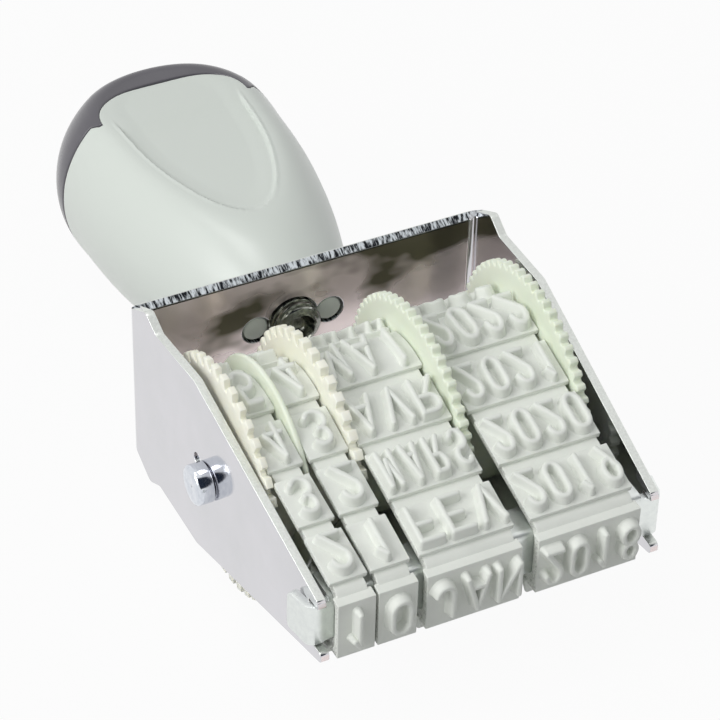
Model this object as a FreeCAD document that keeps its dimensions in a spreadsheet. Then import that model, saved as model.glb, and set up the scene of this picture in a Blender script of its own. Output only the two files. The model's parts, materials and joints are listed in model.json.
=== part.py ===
import FreeCAD, Part
import math
import os

import Sketcher

# Rubber band date stamp, lying on its side as it rests on a desk.
# Lengths are millimetres. The wheel axle runs along X, the stamp axis along Y
# with the handle at +Y and the printing face at -Y, and Z is up.
# Every piece is drawn about the axle, and then placed by axle_y and axle_z.

SIZES = (
    ("frame_width", 32.0, "bracket, outside, at the back plate"),
    ("frame_tip_width", 29.3, "bracket, outside, at the prong tips"),
    ("sheet_wall", 0.75, "bracket sheet"),
    ("bend_radius", 1.3, "outside of the two bends"),
    ("plate_back", 14.8, "axle to the outer face of the back plate"),
    ("plate_half", 6.9, "half height of the back plate"),
    ("shoulder_back", 11.1, "axle to the cheek's shoulder"),
    ("shoulder_half", 9.05, "half height of the cheek there"),
    ("waist_back", 9.2, "axle to the cheek's waist"),
    ("waist_half", 8.05, "half height of the cheek there"),
    ("belly_back", 2.3, "axle to the start of the taper"),
    ("belly_half", 8.6, "half height of the cheek there"),
    ("tip_front", 19.2, "axle to the prong tips"),
    ("tip_half", 3.0, "half height over the prong tips"),
    ("prong_round", 0.35, "rounding of the prong tips"),
    ("shoulder_round", 0.7, "rounding of the shoulder"),
    ("slot_run", 1.4, "travel of the axle slot towards the handle"),
    ("slot_rise", 0.55, "travel of the axle slot upwards"),
    ("saddle_front", 18.0, "axle to the front of the print saddle"),
    ("saddle_half", 2.3, "half height of the saddle's channel"),
    ("saddle_wall", 0.8, "saddle sheet"),
    ("saddle_round", 0.75, "outside bend of the saddle's channel"),
    ("flange_length", 3.0, "depth of the saddle's channel"),
    ("flange_gap", 0.35, "channel end to the cheek"),
    ("cross_half", 2.0, "half height of the strip between the prongs"),
    ("wing_length", 4.0, "saddle wing along the cheek"),
    ("wing_top", 1.4, "wing above the middle"),
    ("wing_low", 2.65, "wing below the middle"),
    ("wing_round", 0.6, "rounding of the wing's rear corners"),
    ("shaft_radius", 1.7, "axle between its shoulders"),
    ("neck_radius", 1.0, "axle in the cheek slots"),
    ("head_radius", 1.7, "axle heads"),
    ("head_length", 1.3, "axle head"),
    ("drum_radius", 6.4, "wheel drum under the band"),
    ("hub_radius", 3.0, "hub between neighbouring wheels"),
    ("disc_radius", 10.6, "over the teeth of the month and year wheels"),
    ("day_radius", 10.25, "over the teeth of the day wheels"),
    ("tens_wall", 0.55, "disc thickness of the wheel of the day's tens"),
    ("units_wall", 0.75, "disc thickness of the wheel of the day's units"),
    ("fine_wall", 0.8, "disc thickness of the month and year wheels"),
    ("coarse_teeth", 40, "teeth of the day wheels"),
    ("coarse_tooth", 0.85, "height of a day wheel tooth"),
    ("fine_teeth", 60, "teeth of the month and year wheels"),
    ("fine_tooth", 0.5, "height of a month wheel tooth"),
    ("separator_radius", 9.05, "smooth disc between the day bands"),
    ("separator_wall", 0.45, "thickness of that disc"),
    ("tens_width", 2.95, "band of the day's tens"),
    ("units_width", 3.3, "band of the day's units"),
    ("month_width", 8.1, "band of the months"),
    ("year_width", 9.0, "band of the years"),
    ("year_lead", 0.5, "hub between the month disc and the year band"),
    ("web_wall", 0.85, "rubber web of a band"),
    ("slab_rise", 0.4, "slab above the web"),
    ("slab_gap", 1.0, "bare web between two slabs"),
    ("print_half", 2.55, "half height of the slab on the saddle"),
    ("type_rise", 0.9, "raised character above its slab"),
    ("type_height", 4.0, "height of a character"),
    ("type_stroke", 0.62, "stroke of a character"),
    ("type_root", 0.4, "part of a character inside its slab"),
    ("handle_shift", -1.2, "handle axis from the middle of the plate"),
    ("handle_neck", 5.5, "handle radius on the plate"),
    ("handle_low_at", 7.5, "handle section 1, from the plate"),
    ("handle_low", 8.35, "radius there"),
    ("handle_mid_at", 15.0, "handle section 2, from the plate"),
    ("handle_mid", 9.9, "radius there"),
    ("handle_full_at", 21.0, "handle section 3, from the plate"),
    ("handle_full", 10.4, "radius there"),
    ("handle_wide_at", 25.5, "handle section 4, from the plate"),
    ("handle_wide", 10.4, "radius there"),
    ("handle_dome_at", 28.9, "section on the dome, from the plate"),
    ("handle_dome", 8.4, "radius there"),
    ("handle_top_at", 30.6, "section near the end, from the plate"),
    ("handle_top", 5.0, "radius there"),
    ("handle_length", 31.4, "handle, from the plate"),
    ("facet_half", 7.7, "handle axis to the flat thumb face"),
    ("handle_wall", 2.0, "wall of the hollow handle"),
    ("seam_at", 24.4, "plate to the seam of the cap"),
    ("tongue_half", 6.6, "half width of the body's tongue in the cap"),
    ("tongue_rise", 4.0, "tongue above the seam"),
    ("tongue_round", 3.2, "rounding of the tongue's upper corners"),
    ("tongue_low", 4.0, "handle axis to the underside of the tongue"),
    ("floor_wall", 3.0, "handle floor on the plate"),
    ("boss_radius", 4.1, "screw boss in the handle"),
    ("boss_length", 19.5, "boss, from the plate"),
    ("plug_length", 2.0, "cap plug inside the handle wall"),
    ("plug_bore", 4.8, "hollow in the cap over the screw head"),
    ("plug_depth", 3.0, "depth of that hollow above the seam"),
    ("screw_radius", 2.1, "handle screw over its thread"),
    ("thread_pitch", 0.75, "handle screw thread"),
    ("thread_depth", 0.3, "handle screw thread"),
    ("thread_turns", 5, "thread ridges at the free end"),
    ("screw_proud", 3.35, "screw inside the bracket"),
    ("cup_radius", 1.35, "hollow in the screw's end"),
    ("cup_depth", 1.5, "depth of that hollow"),
    ("screw_head", 3.6, "radius of the screw head"),
    ("screw_head_length", 2.4, "screw head"),
    ("drive_radius", 1.5, "recess in the screw head"),
    ("drive_depth", 1.3, "depth of that recess"),
    ("washer_wall", 0.8, "washer under the screw head"),
    ("hole_radius", 2.3, "middle hole of the back plate"),
    ("lobe_offset", 3.35, "side hole of the back plate from the middle"),
    ("lobe_radius", 1.3, "side hole of the back plate"),
    ("peg_length", 0.6, "locating pegs of the handle in the side holes"),
    ("peg_clear", 0.2, "pegs to the side holes"),
    ("fit", 0.05, "running clearance on the axle and beside the bands"),
    ("drum_clear", 0.15, "wheel drum to band"),
    ("seat_clear", 0.1, "saddle to bracket and band to saddle"),
    ("side_play", 0.2, "wheel stack to the cheeks"),
)

doc = FreeCAD.newDocument("date_stamp")
sizes = doc.addObject("Spreadsheet::Sheet", "sizes")
for row, (alias, value, note) in enumerate(SIZES, start=1):
    sizes.set(f"A{row}", alias)
    sizes.set(f"B{row}", str(value))
    sizes.set(f"C{row}", note)
    sizes.setAlias(f"B{row}", alias)
doc.recompute()


def val(expression):
    """Number that an expression over the sheet gives."""
    return float(sizes.evalExpression(expression))


# Places worked out from the sheet, as expressions.
TAPER = ("((sizes.frame_width - sizes.frame_tip_width) / 2"
         " / (sizes.plate_back + sizes.tip_front))")


def cheek_outside(y):
    """Half width over the cheeks at distance y from the axle, towards the handle."""
    return f"(sizes.frame_tip_width / 2 + {TAPER} * (sizes.tip_front + ({y})))"


CHEEK_IN = f"({cheek_outside('0')} - sizes.sheet_wall)"
CHEEK_OUT = cheek_outside("0")
PLATE_IN = "(sizes.plate_back - sizes.sheet_wall)"
DISC_CHEEK = f"({cheek_outside('-sizes.day_radius')} - sizes.sheet_wall)"
STACK_LEFT = f"(sizes.side_play / 2 - {DISC_CHEEK})"
SLOT_HALF = "(sizes.neck_radius + 2 * sizes.fit)"
BAND_INNER = "(sizes.drum_radius + sizes.drum_clear)"
BAND_FRONT = "(sizes.saddle_front + sizes.seat_clear)"
BAND_HALF = "(sizes.saddle_half + sizes.seat_clear)"
REACH_FRONT = f"({BAND_FRONT} + sizes.web_wall + sizes.slab_rise + sizes.type_rise)"
REACH_BACK = "(sizes.plate_back + sizes.handle_length)"
AXLE_Y = f"(({REACH_FRONT} - {REACH_BACK}) / 2)"
AXLE_Z = "sizes.disc_radius"

# The wheels and bands along the axle, from the left cheek.
tens_disc = STACK_LEFT
tens_drum = f"({tens_disc} + sizes.tens_wall)"
separator_x = f"({tens_drum} + sizes.tens_width + 2 * sizes.fit)"
units_drum = f"({separator_x} + sizes.separator_wall)"
units_disc = f"({units_drum} + sizes.units_width + 2 * sizes.fit)"
month_drum = f"({units_disc} + sizes.units_wall)"
month_disc = f"({month_drum} + sizes.month_width + 2 * sizes.fit)"
year_hub = f"({month_disc} + sizes.fine_wall)"
year_drum = f"({year_hub} + sizes.year_lead)"
year_disc = f"({year_drum} + sizes.year_width + 2 * sizes.fit)"
spacer_x = f"({year_disc} + sizes.fine_wall)"


def bind(item, values):
    for name, expression in values.items():
        item.setExpression(name, expression)


def place(item):
    bind(item, {"Placement.Base.y": AXLE_Y, "Placement.Base.z": AXLE_Z})


def new_body(label):
    body = doc.addObject("PartDesign::Body", label)
    body.Label = label
    place(body)
    return body


def origin_item(body, role):
    return next(f for f in body.Origin.OriginFeatures if f.Role == role)


def outline(body, name, role, loops, shift="0"):
    """Sketch of closed polygons whose corners are bound to the sheet."""
    sketch = body.newObject("Sketcher::SketchObject", f"{body.Name}_{name}")
    sketch.AttachmentSupport = [(origin_item(body, role), "")]
    sketch.MapMode = "FlatFace"
    bind(sketch, {"AttachmentOffset.Base.z": shift})
    for corners in loops:
        first = sketch.GeometryCount
        points = [FreeCAD.Vector(val(x), val(y), 0) for x, y in corners]
        count = len(points)
        for k in range(count):
            sketch.addGeometry(Part.LineSegment(points[k], points[(k + 1) % count]), False)
        for k in range(count):
            after = first + (k + 1) % count
            sketch.addConstraint(Sketcher.Constraint("Coincident", first + k, 2, after, 1))
        for k, (x, y) in enumerate(corners):
            for kind, text, number in (("DistanceX", x, points[k].x),
                                       ("DistanceY", y, points[k].y)):
                index = sketch.addConstraint(
                    Sketcher.Constraint(kind, -1, 1, first + k, 1, number))
                sketch.setExpression(f"Constraints[{index}]", text)
    return sketch


def ring_sketch(body, name, role, radii, shift="0", centre=("0", "0")):
    """Sketch of circles about one centre."""
    sketch = body.newObject("Sketcher::SketchObject", f"{body.Name}_{name}")
    sketch.AttachmentSupport = [(origin_item(body, role), "")]
    sketch.MapMode = "FlatFace"
    bind(sketch, {"AttachmentOffset.Base.z": shift})
    middle = FreeCAD.Vector(val(centre[0]), val(centre[1]), 0)
    for radius in radii:
        index = sketch.addGeometry(
            Part.Circle(middle, FreeCAD.Vector(0, 0, 1), val(radius)), False)
        for kind, text, number in (("DistanceX", centre[0], middle.x),
                                   ("DistanceY", centre[1], middle.y)):
            held = sketch.addConstraint(Sketcher.Constraint(kind, -1, 1, index, 3, number))
            sketch.setExpression(f"Constraints[{held}]", text)
        held = sketch.addConstraint(Sketcher.Constraint("Radius", index, val(radius)))
        sketch.setExpression(f"Constraints[{held}]", radius)
    return sketch


def pad(body, sketch, length, midplane=False, reverse=False):
    feature = body.newObject("PartDesign::Pad", f"{sketch.Name}_pad")
    feature.Profile = sketch
    feature.Midplane = midplane
    feature.Reversed = reverse
    bind(feature, {"Length": length})
    return feature


def pocket(body, sketch, length, midplane=False, reverse=False):
    """Pocket that has to remove material."""
    doc.recompute()
    before = body.Shape.Volume
    feature = body.newObject("PartDesign::Pocket", f"{sketch.Name}_pocket")
    feature.Profile = sketch
    feature.Midplane = midplane
    feature.Reversed = reverse
    bind(feature, {"Length": length})
    doc.recompute()
    if feature.Shape.Volume > before - 1e-6:
        raise ValueError(f"{feature.Name} removes nothing")
    return feature


def revolve(body, sketch, role):
    feature = body.newObject("PartDesign::Revolution", f"{sketch.Name}_turned")
    feature.Profile = sketch
    feature.ReferenceAxis = (origin_item(body, role), [""])
    feature.Angle = 360
    return feature


def straight_edges(shape, direction, spots):
    """Names of edges along one axis that pass through the given spots."""
    first, second = [k for k in range(3) if k != direction]
    names = []
    for number, edge in enumerate(shape.Edges, start=1):
        ends = [vertex.Point for vertex in edge.Vertexes]
        if len(ends) != 2 or edge.Curve.TypeId != "Part::GeomLine":
            continue
        run = ends[1] - ends[0]
        if abs(run[direction]) < run.Length * 0.99:
            continue
        for a, b in spots:
            if math.hypot(ends[0][first] - a, ends[0][second] - b) < 0.02:
                names.append(f"Edge{number}")
    return names


def round_edges(body, direction, spots, radius):
    doc.recompute()
    base = body.Tip
    names = straight_edges(base.Shape, direction, spots)
    if not names:
        raise ValueError(f"{body.Name} has no edge to round")
    feature = body.newObject("PartDesign::Fillet", f"{body.Name}_round")
    feature.Base = (base, names)
    bind(feature, {"Radius": radius})
    doc.recompute()
    return feature


def mirrored(points):
    """Both halves of an outline, given from the back to the front of its upper half."""
    lower = [(y, f"-({z})") for y, z in reversed(points)]
    return list(points) + lower


X_AXIS, Z_AXIS = 0, 2


def make_bracket():
    """One bent sheet: back plate, two cheeks with prongs, axle slots and handle holes."""
    body = new_body("frame_bracket")
    front = "-sizes.tip_front"
    back_in = f"{cheek_outside(PLATE_IN)} - sizes.sheet_wall"
    tip_in = "(sizes.frame_tip_width / 2 - sizes.sheet_wall)"
    plan = [("-sizes.frame_width / 2", "sizes.plate_back"),
            ("-sizes.frame_tip_width / 2", front),
            (f"-{tip_in}", front),
            (f"-({back_in})", PLATE_IN),
            (back_in, PLATE_IN),
            (tip_in, front),
            ("sizes.frame_tip_width / 2", front),
            ("sizes.frame_width / 2", "sizes.plate_back")]
    sheet = outline(body, "plan", "XY_Plane", [plan])
    body.Tip = pad(body, sheet, "2 * sizes.shoulder_half + 2", midplane=True)
    half_width = val("sizes.frame_width / 2")
    inside = val(back_in)
    bends = [(side * half_width, val("sizes.plate_back")) for side in (-1, 1)]
    body.Tip = round_edges(body, Z_AXIS, bends, "sizes.bend_radius")
    bends = [(side * inside, val(PLATE_IN)) for side in (-1, 1)]
    body.Tip = round_edges(body, Z_AXIS, bends, "sizes.bend_radius - sizes.sheet_wall")

    recess = "-(sizes.saddle_front - sizes.saddle_wall - sizes.seat_clear)"
    prong_in = "sizes.cross_half + sizes.seat_clear"
    upper = [("sizes.plate_back", "sizes.plate_half"),
             ("sizes.shoulder_back", "sizes.shoulder_half"),
             ("sizes.waist_back", "sizes.waist_half"),
             ("sizes.belly_back", "sizes.belly_half"),
             (front, "sizes.tip_half"),
             (front, prong_in),
             (recess, prong_in)]
    side = mirrored(upper)
    reach = "sizes.plate_back + 5"
    rim = "sizes.shoulder_half + 5"
    border = [(reach, rim), ("-sizes.tip_front - 5", rim),
              ("-sizes.tip_front - 5", f"-({rim})"), (reach, f"-({rim})")]
    waste = outline(body, "side", "YZ_Plane", [border, side])
    body.Tip = pocket(body, waste, "sizes.frame_width + 4", midplane=True)

    tips = [(val(front), sign * val(z)) for sign in (-1, 1)
            for z in ("sizes.tip_half", prong_in)]
    body.Tip = round_edges(body, X_AXIS, tips, "sizes.prong_round")
    shoulders = [(val(y), sign * val(z)) for sign in (-1, 1)
                 for y, z in (upper[1], upper[2])]
    body.Tip = round_edges(body, X_AXIS, shoulders, "sizes.shoulder_round")

    travel = "sqrt(sizes.slot_run ^ 2 + sizes.slot_rise ^ 2)"
    across = f"({SLOT_HALF} * sizes.slot_rise / {travel})"
    upward = f"({SLOT_HALF} * sizes.slot_run / {travel})"
    slot = outline(body, "slot", "YZ_Plane", [[
        (f"-{across}", upward), (f"sizes.slot_run - {across}", f"sizes.slot_rise + {upward}"),
        (f"sizes.slot_run + {across}", f"sizes.slot_rise - {upward}"), (across, f"-{upward}")]])
    body.Tip = pocket(body, slot, "sizes.frame_width + 4", midplane=True)
    for name, y, z in (("slot_front", "0", "0"), ("slot_back", "sizes.slot_run", "sizes.slot_rise")):
        end = ring_sketch(body, name, "YZ_Plane", [SLOT_HALF], centre=(y, z))
        body.Tip = pocket(body, end, "sizes.frame_width + 4", midplane=True)

    # The plate's holes are drawn on XZ, whose normal points to -Y.
    depth = "4 * sizes.sheet_wall"
    start = "-sizes.plate_back - sizes.sheet_wall"
    middle = "sizes.handle_shift"
    for name, offset, radius in (("hole", "0", "sizes.hole_radius"),
                                 ("lobe_left", "-sizes.lobe_offset", "sizes.lobe_radius"),
                                 ("lobe_right", "sizes.lobe_offset", "sizes.lobe_radius")):
        hole = ring_sketch(body, name, "XZ_Plane", [radius], shift=start,
                           centre=(f"{middle} + {offset}", "0"))
        body.Tip = pocket(body, hole, depth, reverse=True)
    return body


def make_saddle():
    """Sheet channel that backs the bands, with ears through the prongs and outer wings."""
    body = new_body("print_saddle")
    front = "-sizes.saddle_front"
    web_back = "-sizes.saddle_front + sizes.saddle_wall"
    back = "-sizes.saddle_front + sizes.flange_length"
    half = "sizes.saddle_half"
    inner = "sizes.saddle_half - sizes.saddle_wall"
    channel = [(back, half), (front, half), (front, f"-{half}"), (back, f"-{half}"),
               (back, f"-({inner})"), (web_back, f"-({inner})"), (web_back, inner),
               (back, inner)]
    run = f"2 * ({cheek_outside(front)} - sizes.sheet_wall - sizes.flange_gap)"
    sheet = outline(body, "channel", "YZ_Plane", [channel])
    body.Tip = pad(body, sheet, run, midplane=True)
    corners = [(val(front), sign * val(half)) for sign in (-1, 1)]
    body.Tip = round_edges(body, X_AXIS, corners, "sizes.saddle_round")

    wing_in = f"({cheek_outside(front + ' + sizes.wing_length')} + sizes.seat_clear)"
    wing_out = f"({wing_in} + sizes.saddle_wall)"
    strip = outline(body, "strip", "YZ_Plane", [[
        (front, "sizes.cross_half"), (web_back, "sizes.cross_half"),
        (web_back, "-sizes.cross_half"), (front, "-sizes.cross_half")]])
    body.Tip = pad(body, strip, f"2 * {wing_out}", midplane=True)
    rear = f"{front} + sizes.wing_length"
    wing = [(front, "sizes.wing_top"), (rear, "sizes.wing_top"),
            (rear, "-sizes.wing_low"), (f"{front} + sizes.wing_length / 2", "-sizes.wing_low"),
            (front, "-sizes.cross_half")]
    for name, start, turned in (("left", f"-{wing_out}", False), ("right", wing_out, True)):
        plate = outline(body, f"wing_{name}", "YZ_Plane", [wing], shift=start)
        body.Tip = pad(body, plate, "sizes.saddle_wall", reverse=turned)
    bends = [(side * val(wing_out), val(front)) for side in (-1, 1)]
    body.Tip = round_edges(body, Z_AXIS, bends, "sizes.saddle_wall * 0.95")
    rears = [(val(rear), val(z)) for z in ("sizes.wing_top", "-sizes.wing_low")]
    body.Tip = round_edges(body, X_AXIS, rears, "sizes.wing_round")
    return body


def make_axle():
    """Turned pin: shaft between the cheeks, a neck in each slot and a head outside."""
    body = new_body("axle_pin")
    shoulder = f"({CHEEK_IN} - sizes.side_play / 2)"
    head_in = f"({CHEEK_OUT} + sizes.side_play)"
    head_out = f"({head_in} + sizes.head_length)"
    half = [("0", "sizes.shaft_radius"), (shoulder, "sizes.shaft_radius"),
            (shoulder, "sizes.neck_radius"), (head_in, "sizes.neck_radius"),
            (head_in, "sizes.head_radius"), (head_out, "sizes.head_radius"),
            (head_out, "0")]
    left = [(f"-({x})", r) for x, r in reversed(half[1:])]
    profile = outline(body, "profile", "XY_Plane", [left + half[1:]])
    body.Tip = revolve(body, profile, "X_Axis")
    return body


def make_wheel(label, disc_x, wall, drum_x, drum_length, over, teeth, tooth, flat, hub=None):
    """Moulded wheel: drum for the band and a toothed disc to turn it by."""
    body = new_body(label)
    bore = "sizes.shaft_radius + sizes.fit"
    drum = ring_sketch(body, "drum", "YZ_Plane", ["sizes.drum_radius", bore], shift=drum_x)
    body.Tip = pad(body, drum, drum_length)
    root = f"{over} - {tooth}"
    disc = ring_sketch(body, "disc", "YZ_Plane", [root, bore], shift=disc_x)
    body.Tip = pad(body, disc, wall)
    if hub:
        collar = ring_sketch(body, "hub", "YZ_Plane", ["sizes.hub_radius", bore],
                             shift=f"{hub} + sizes.fit")
        body.Tip = pad(body, collar, f"{drum_x} - {hub}")
    pitch = f"(2 * pi * {over} / {teeth})"
    base = f"{pitch} * 0.42"
    tip = f"{pitch} * {flat}"
    shape = outline(body, "tooth", "YZ_Plane", [[
        (f"-({base})", f"({root}) - 0.3"), (base, f"({root}) - 0.3"),
        (base, f"{root} + 0.05"), (tip, over), (f"-({tip})", over),
        (f"-({base})", f"{root} + 0.05")]],
        shift=disc_x)
    one = pad(body, shape, wall)
    ring = body.newObject("PartDesign::PolarPattern", f"{label}_teeth")
    ring.Originals = [one]
    ring.Axis = (origin_item(body, "X_Axis"), [""])
    ring.Angle = 360
    bind(ring, {"Occurrences": teeth})
    body.Tip = ring
    return body


def make_ring(label, outside, x, length):
    """Plain disc or collar on the axle."""
    body = new_body(label)
    bore = "sizes.shaft_radius + sizes.fit"
    shape = ring_sketch(body, "ring", "YZ_Plane", [outside, bore], shift=x)
    body.Tip = pad(body, shape, length)
    return body


# Characters are single strokes in a box one wide and one high.
def bow(cx, cy, rx, ry, start, stop, steps=5):
    turn = (stop - start) / steps
    return [(cx + rx * math.cos(math.radians(start + turn * k)),
             cy + ry * math.sin(math.radians(start + turn * k))) for k in range(steps + 1)]


OVAL = bow(0.5, 0.72, 0.5, 0.28, 0, 180) + bow(0.5, 0.28, 0.5, 0.28, 180, 360)
GLYPHS = {
    "0": [OVAL + OVAL[:1]],
    "1": [[(0.15, 0.78), (0.5, 1.0), (0.5, 0.0)]],
    "2": [bow(0.5, 0.72, 0.48, 0.28, 170, -30) + [(0.0, 0.0), (1.0, 0.0)]],
    "3": [bow(0.46, 0.76, 0.44, 0.24, 150, -90), bow(0.46, 0.27, 0.52, 0.27, 90, -150)],
    "4": [[(0.7, 0.0), (0.7, 1.0), (0.0, 0.28)], [(0.0, 0.28), (1.0, 0.28)]],
    "5": [[(0.92, 1.0), (0.16, 1.0), (0.08, 0.55)] + bow(0.48, 0.31, 0.5, 0.31, 120, -150)],
    "6": [[(0.76, 1.0), (0.12, 0.46)], bow(0.5, 0.3, 0.48, 0.3, 0, 360, 8)],
    "7": [[(0.0, 1.0), (1.0, 1.0), (0.35, 0.0)]],
    "8": [bow(0.5, 0.77, 0.42, 0.23, -90, 270, 8), bow(0.5, 0.27, 0.5, 0.27, 90, 450, 8)],
    "9": [[(0.24, 0.0), (0.88, 0.54)], bow(0.5, 0.7, 0.48, 0.3, 0, 360, 8)],
    "A": [[(0.0, 0.0), (0.5, 1.0), (1.0, 0.0)], [(0.2, 0.3), (0.8, 0.3)]],
    "C": [bow(0.52, 0.7, 0.5, 0.3, 30, 180) + bow(0.52, 0.3, 0.5, 0.3, 180, 330)],
    "D": [[(0.0, 0.0), (0.0, 1.0), (0.4, 1.0)] + bow(0.4, 0.5, 0.6, 0.5, 60, -90)
          + [(0.0, 0.0)]],
    "E": [[(1.0, 1.0), (0.0, 1.0), (0.0, 0.0), (1.0, 0.0)], [(0.0, 0.52), (0.8, 0.52)]],
    "F": [[(1.0, 1.0), (0.0, 1.0), (0.0, 0.0)], [(0.0, 0.52), (0.8, 0.52)]],
    "I": [[(0.5, 0.0), (0.5, 1.0)]],
    "J": [[(0.85, 1.0), (0.85, 0.28)] + bow(0.45, 0.28, 0.4, 0.28, 0, -170)],
    "L": [[(0.1, 1.0), (0.1, 0.0), (0.95, 0.0)]],
    "M": [[(0.0, 0.0), (0.08, 1.0), (0.5, 0.25), (0.92, 1.0), (1.0, 0.0)]],
    "N": [[(0.0, 0.0), (0.0, 1.0), (1.0, 0.0), (1.0, 1.0)]],
    "O": [OVAL + OVAL[:1]],
    "P": [[(0.0, 0.0), (0.0, 1.0)],
          [(0.0, 1.0), (0.55, 1.0)] + bow(0.55, 0.74, 0.42, 0.26, 60, -90) + [(0.0, 0.48)]],
    "R": [[(0.0, 0.0), (0.0, 1.0)],
          [(0.0, 1.0), (0.55, 1.0)] + bow(0.55, 0.76, 0.4, 0.24, 60, -90) + [(0.0, 0.52)],
          [(0.45, 0.5), (1.0, 0.0)]],
    "S": [bow(0.5, 0.76, 0.46, 0.24, 30, 250) + bow(0.5, 0.27, 0.5, 0.27, 80, -150)],
    "T": [[(0.0, 1.0), (1.0, 1.0)], [(0.5, 1.0), (0.5, 0.0)]],
    "U": [[(0.0, 1.0), (0.0, 0.3)] + bow(0.5, 0.3, 0.5, 0.3, 180, 360) + [(1.0, 1.0)]],
    "V": [[(0.0, 1.0), (0.5, 0.0), (1.0, 1.0)]],
}
DIGITS = [str(n) for n in range(1, 10)]
BANDS = {
    "band_day_tens": DIGITS + ["0", "", ""],
    "band_day_units": ["0"] + DIGITS + ["", ""],
    "band_month": ["JAN", "FEV", "MARS", "AVR", "MAI", "JUIN",
                   "JUIL", "AOUT", "SEPT", "OCT", "NOV", "DEC"],
    "band_year": [str(2018 + n) for n in range(12)],
}


def capsule(a, b, radius):
    """Face of one straight stroke with round ends."""
    along = (b - a).normalize() * radius
    across = FreeCAD.Vector(-along.y, along.x, 0)
    sides = [Part.LineSegment(a + across, b + across), Part.Arc(b + across, b + along, b - across),
             Part.LineSegment(b - across, a - across), Part.Arc(a - across, a - along, a + across)]
    return Part.Face(Part.Wire([side.toShape() for side in sides]))


def stroke_face(points, radius):
    """Face of a bent or closed stroke."""
    if len(points) == 2:
        return capsule(points[0], points[1], radius)
    path = Part.makePolygon(points)
    if path.isClosed():
        faces = [Part.Face(path.makeOffset2D(side * radius, 0, False, False))
                 for side in (1, -1)]
        return faces[0].cut(faces[1])
    return Part.Face(path.makeOffset2D(radius, 0, False, False))


def word_solids(word, width, height, stroke, root, rise):
    """Raised characters of one slab, mirrored as type is, about the slab's middle."""
    count = len(word)
    cell = width / max(count, 1)
    letter = min(cell - 1.55 * stroke, 0.55 * height)
    solids = []
    for index, sign in enumerate(word):
        left = (index + 0.5 - count / 2) * cell - letter / 2
        for stroke_points in GLYPHS[sign]:
            points = [FreeCAD.Vector(left + x * letter, -(y - 0.5) * (height - stroke), -root)
                      for x, y in stroke_points]
            face = stroke_face(points, stroke / 2)
            solids.append(face.extrude(FreeCAD.Vector(0, 0, root + rise)))
    return solids


class BandPath:
    """Closed path of a band round the saddle and the drum, at an offset from its inside.

    Distances run upstream from the middle of the printing face: up, round the
    saddle, back to the drum, round it and home along the underside.
    """

    def __init__(self):
        self.drum = val(BAND_INNER)
        self.bend = val("sizes.saddle_round + sizes.seat_clear")
        self.neutral = val("sizes.web_wall / 2")
        self.corner = (-val(BAND_FRONT) + self.bend, val(BAND_HALF) - self.bend)
        reach = math.hypot(*self.corner)
        self.lean = (math.atan2(self.corner[1], self.corner[0])
                     - math.acos((self.drum - self.bend) / reach))
        self.run = math.sqrt(reach ** 2 - (self.drum - self.bend) ** 2)
        self.spans = (self.corner[1],
                      (math.pi - self.lean) * (self.bend + self.neutral),
                      self.run,
                      self.lean * (self.drum + self.neutral))
        self.length = 2 * sum(self.spans)

    def at(self, distance, offset):
        """Point in Y and Z, and the angle of the outward normal."""
        distance = (distance + self.length / 2) % self.length - self.length / 2
        side = 1 if distance >= 0 else -1
        left = abs(distance)
        face, corner, run, drum = self.spans
        if left <= face:
            angle = math.pi
            y, z = self.corner[0] - self.bend, left
        elif left <= face + corner:
            angle = math.pi - (left - face) / (self.bend + self.neutral)
            y = self.corner[0] + self.bend * math.cos(angle)
            z = self.corner[1] + self.bend * math.sin(angle)
        elif left <= face + corner + run:
            angle = self.lean
            ahead = left - face - corner
            y = self.corner[0] + self.bend * math.cos(angle) + ahead * math.sin(angle)
            z = self.corner[1] + self.bend * math.sin(angle) - ahead * math.cos(angle)
        else:
            angle = self.lean - (left - face - corner - run) / (self.drum + self.neutral)
            y, z = self.drum * math.cos(angle), self.drum * math.sin(angle)
        y += offset * math.cos(angle)
        z += offset * math.sin(angle)
        return (y, side * z), side * angle

    def wire(self, x, offset):
        """Loop of lines and arcs at one offset."""
        bend, drum = self.bend + offset, self.drum + offset
        (cy, cz), lean = self.corner, self.lean

        def spot(centre_y, centre_z, radius, angle):
            return FreeCAD.Vector(x, centre_y + radius * math.cos(angle),
                                  centre_z + radius * math.sin(angle))

        half = (math.pi + lean) / 2
        top = [spot(cy, cz, bend, math.pi), spot(cy, cz, bend, half), spot(cy, cz, bend, lean)]
        low = [spot(cy, -cz, bend, -lean), spot(cy, -cz, bend, -half),
               spot(cy, -cz, bend, math.pi)]
        back = [spot(0, 0, drum, lean), spot(0, 0, drum, 0), spot(0, 0, drum, -lean)]
        parts = [Part.Arc(*top), Part.LineSegment(top[2], back[0]), Part.Arc(*back),
                 Part.LineSegment(back[2], low[0]), Part.Arc(*low),
                 Part.LineSegment(low[2], top[0])]
        return Part.Wire([part.toShape() for part in parts])


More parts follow.
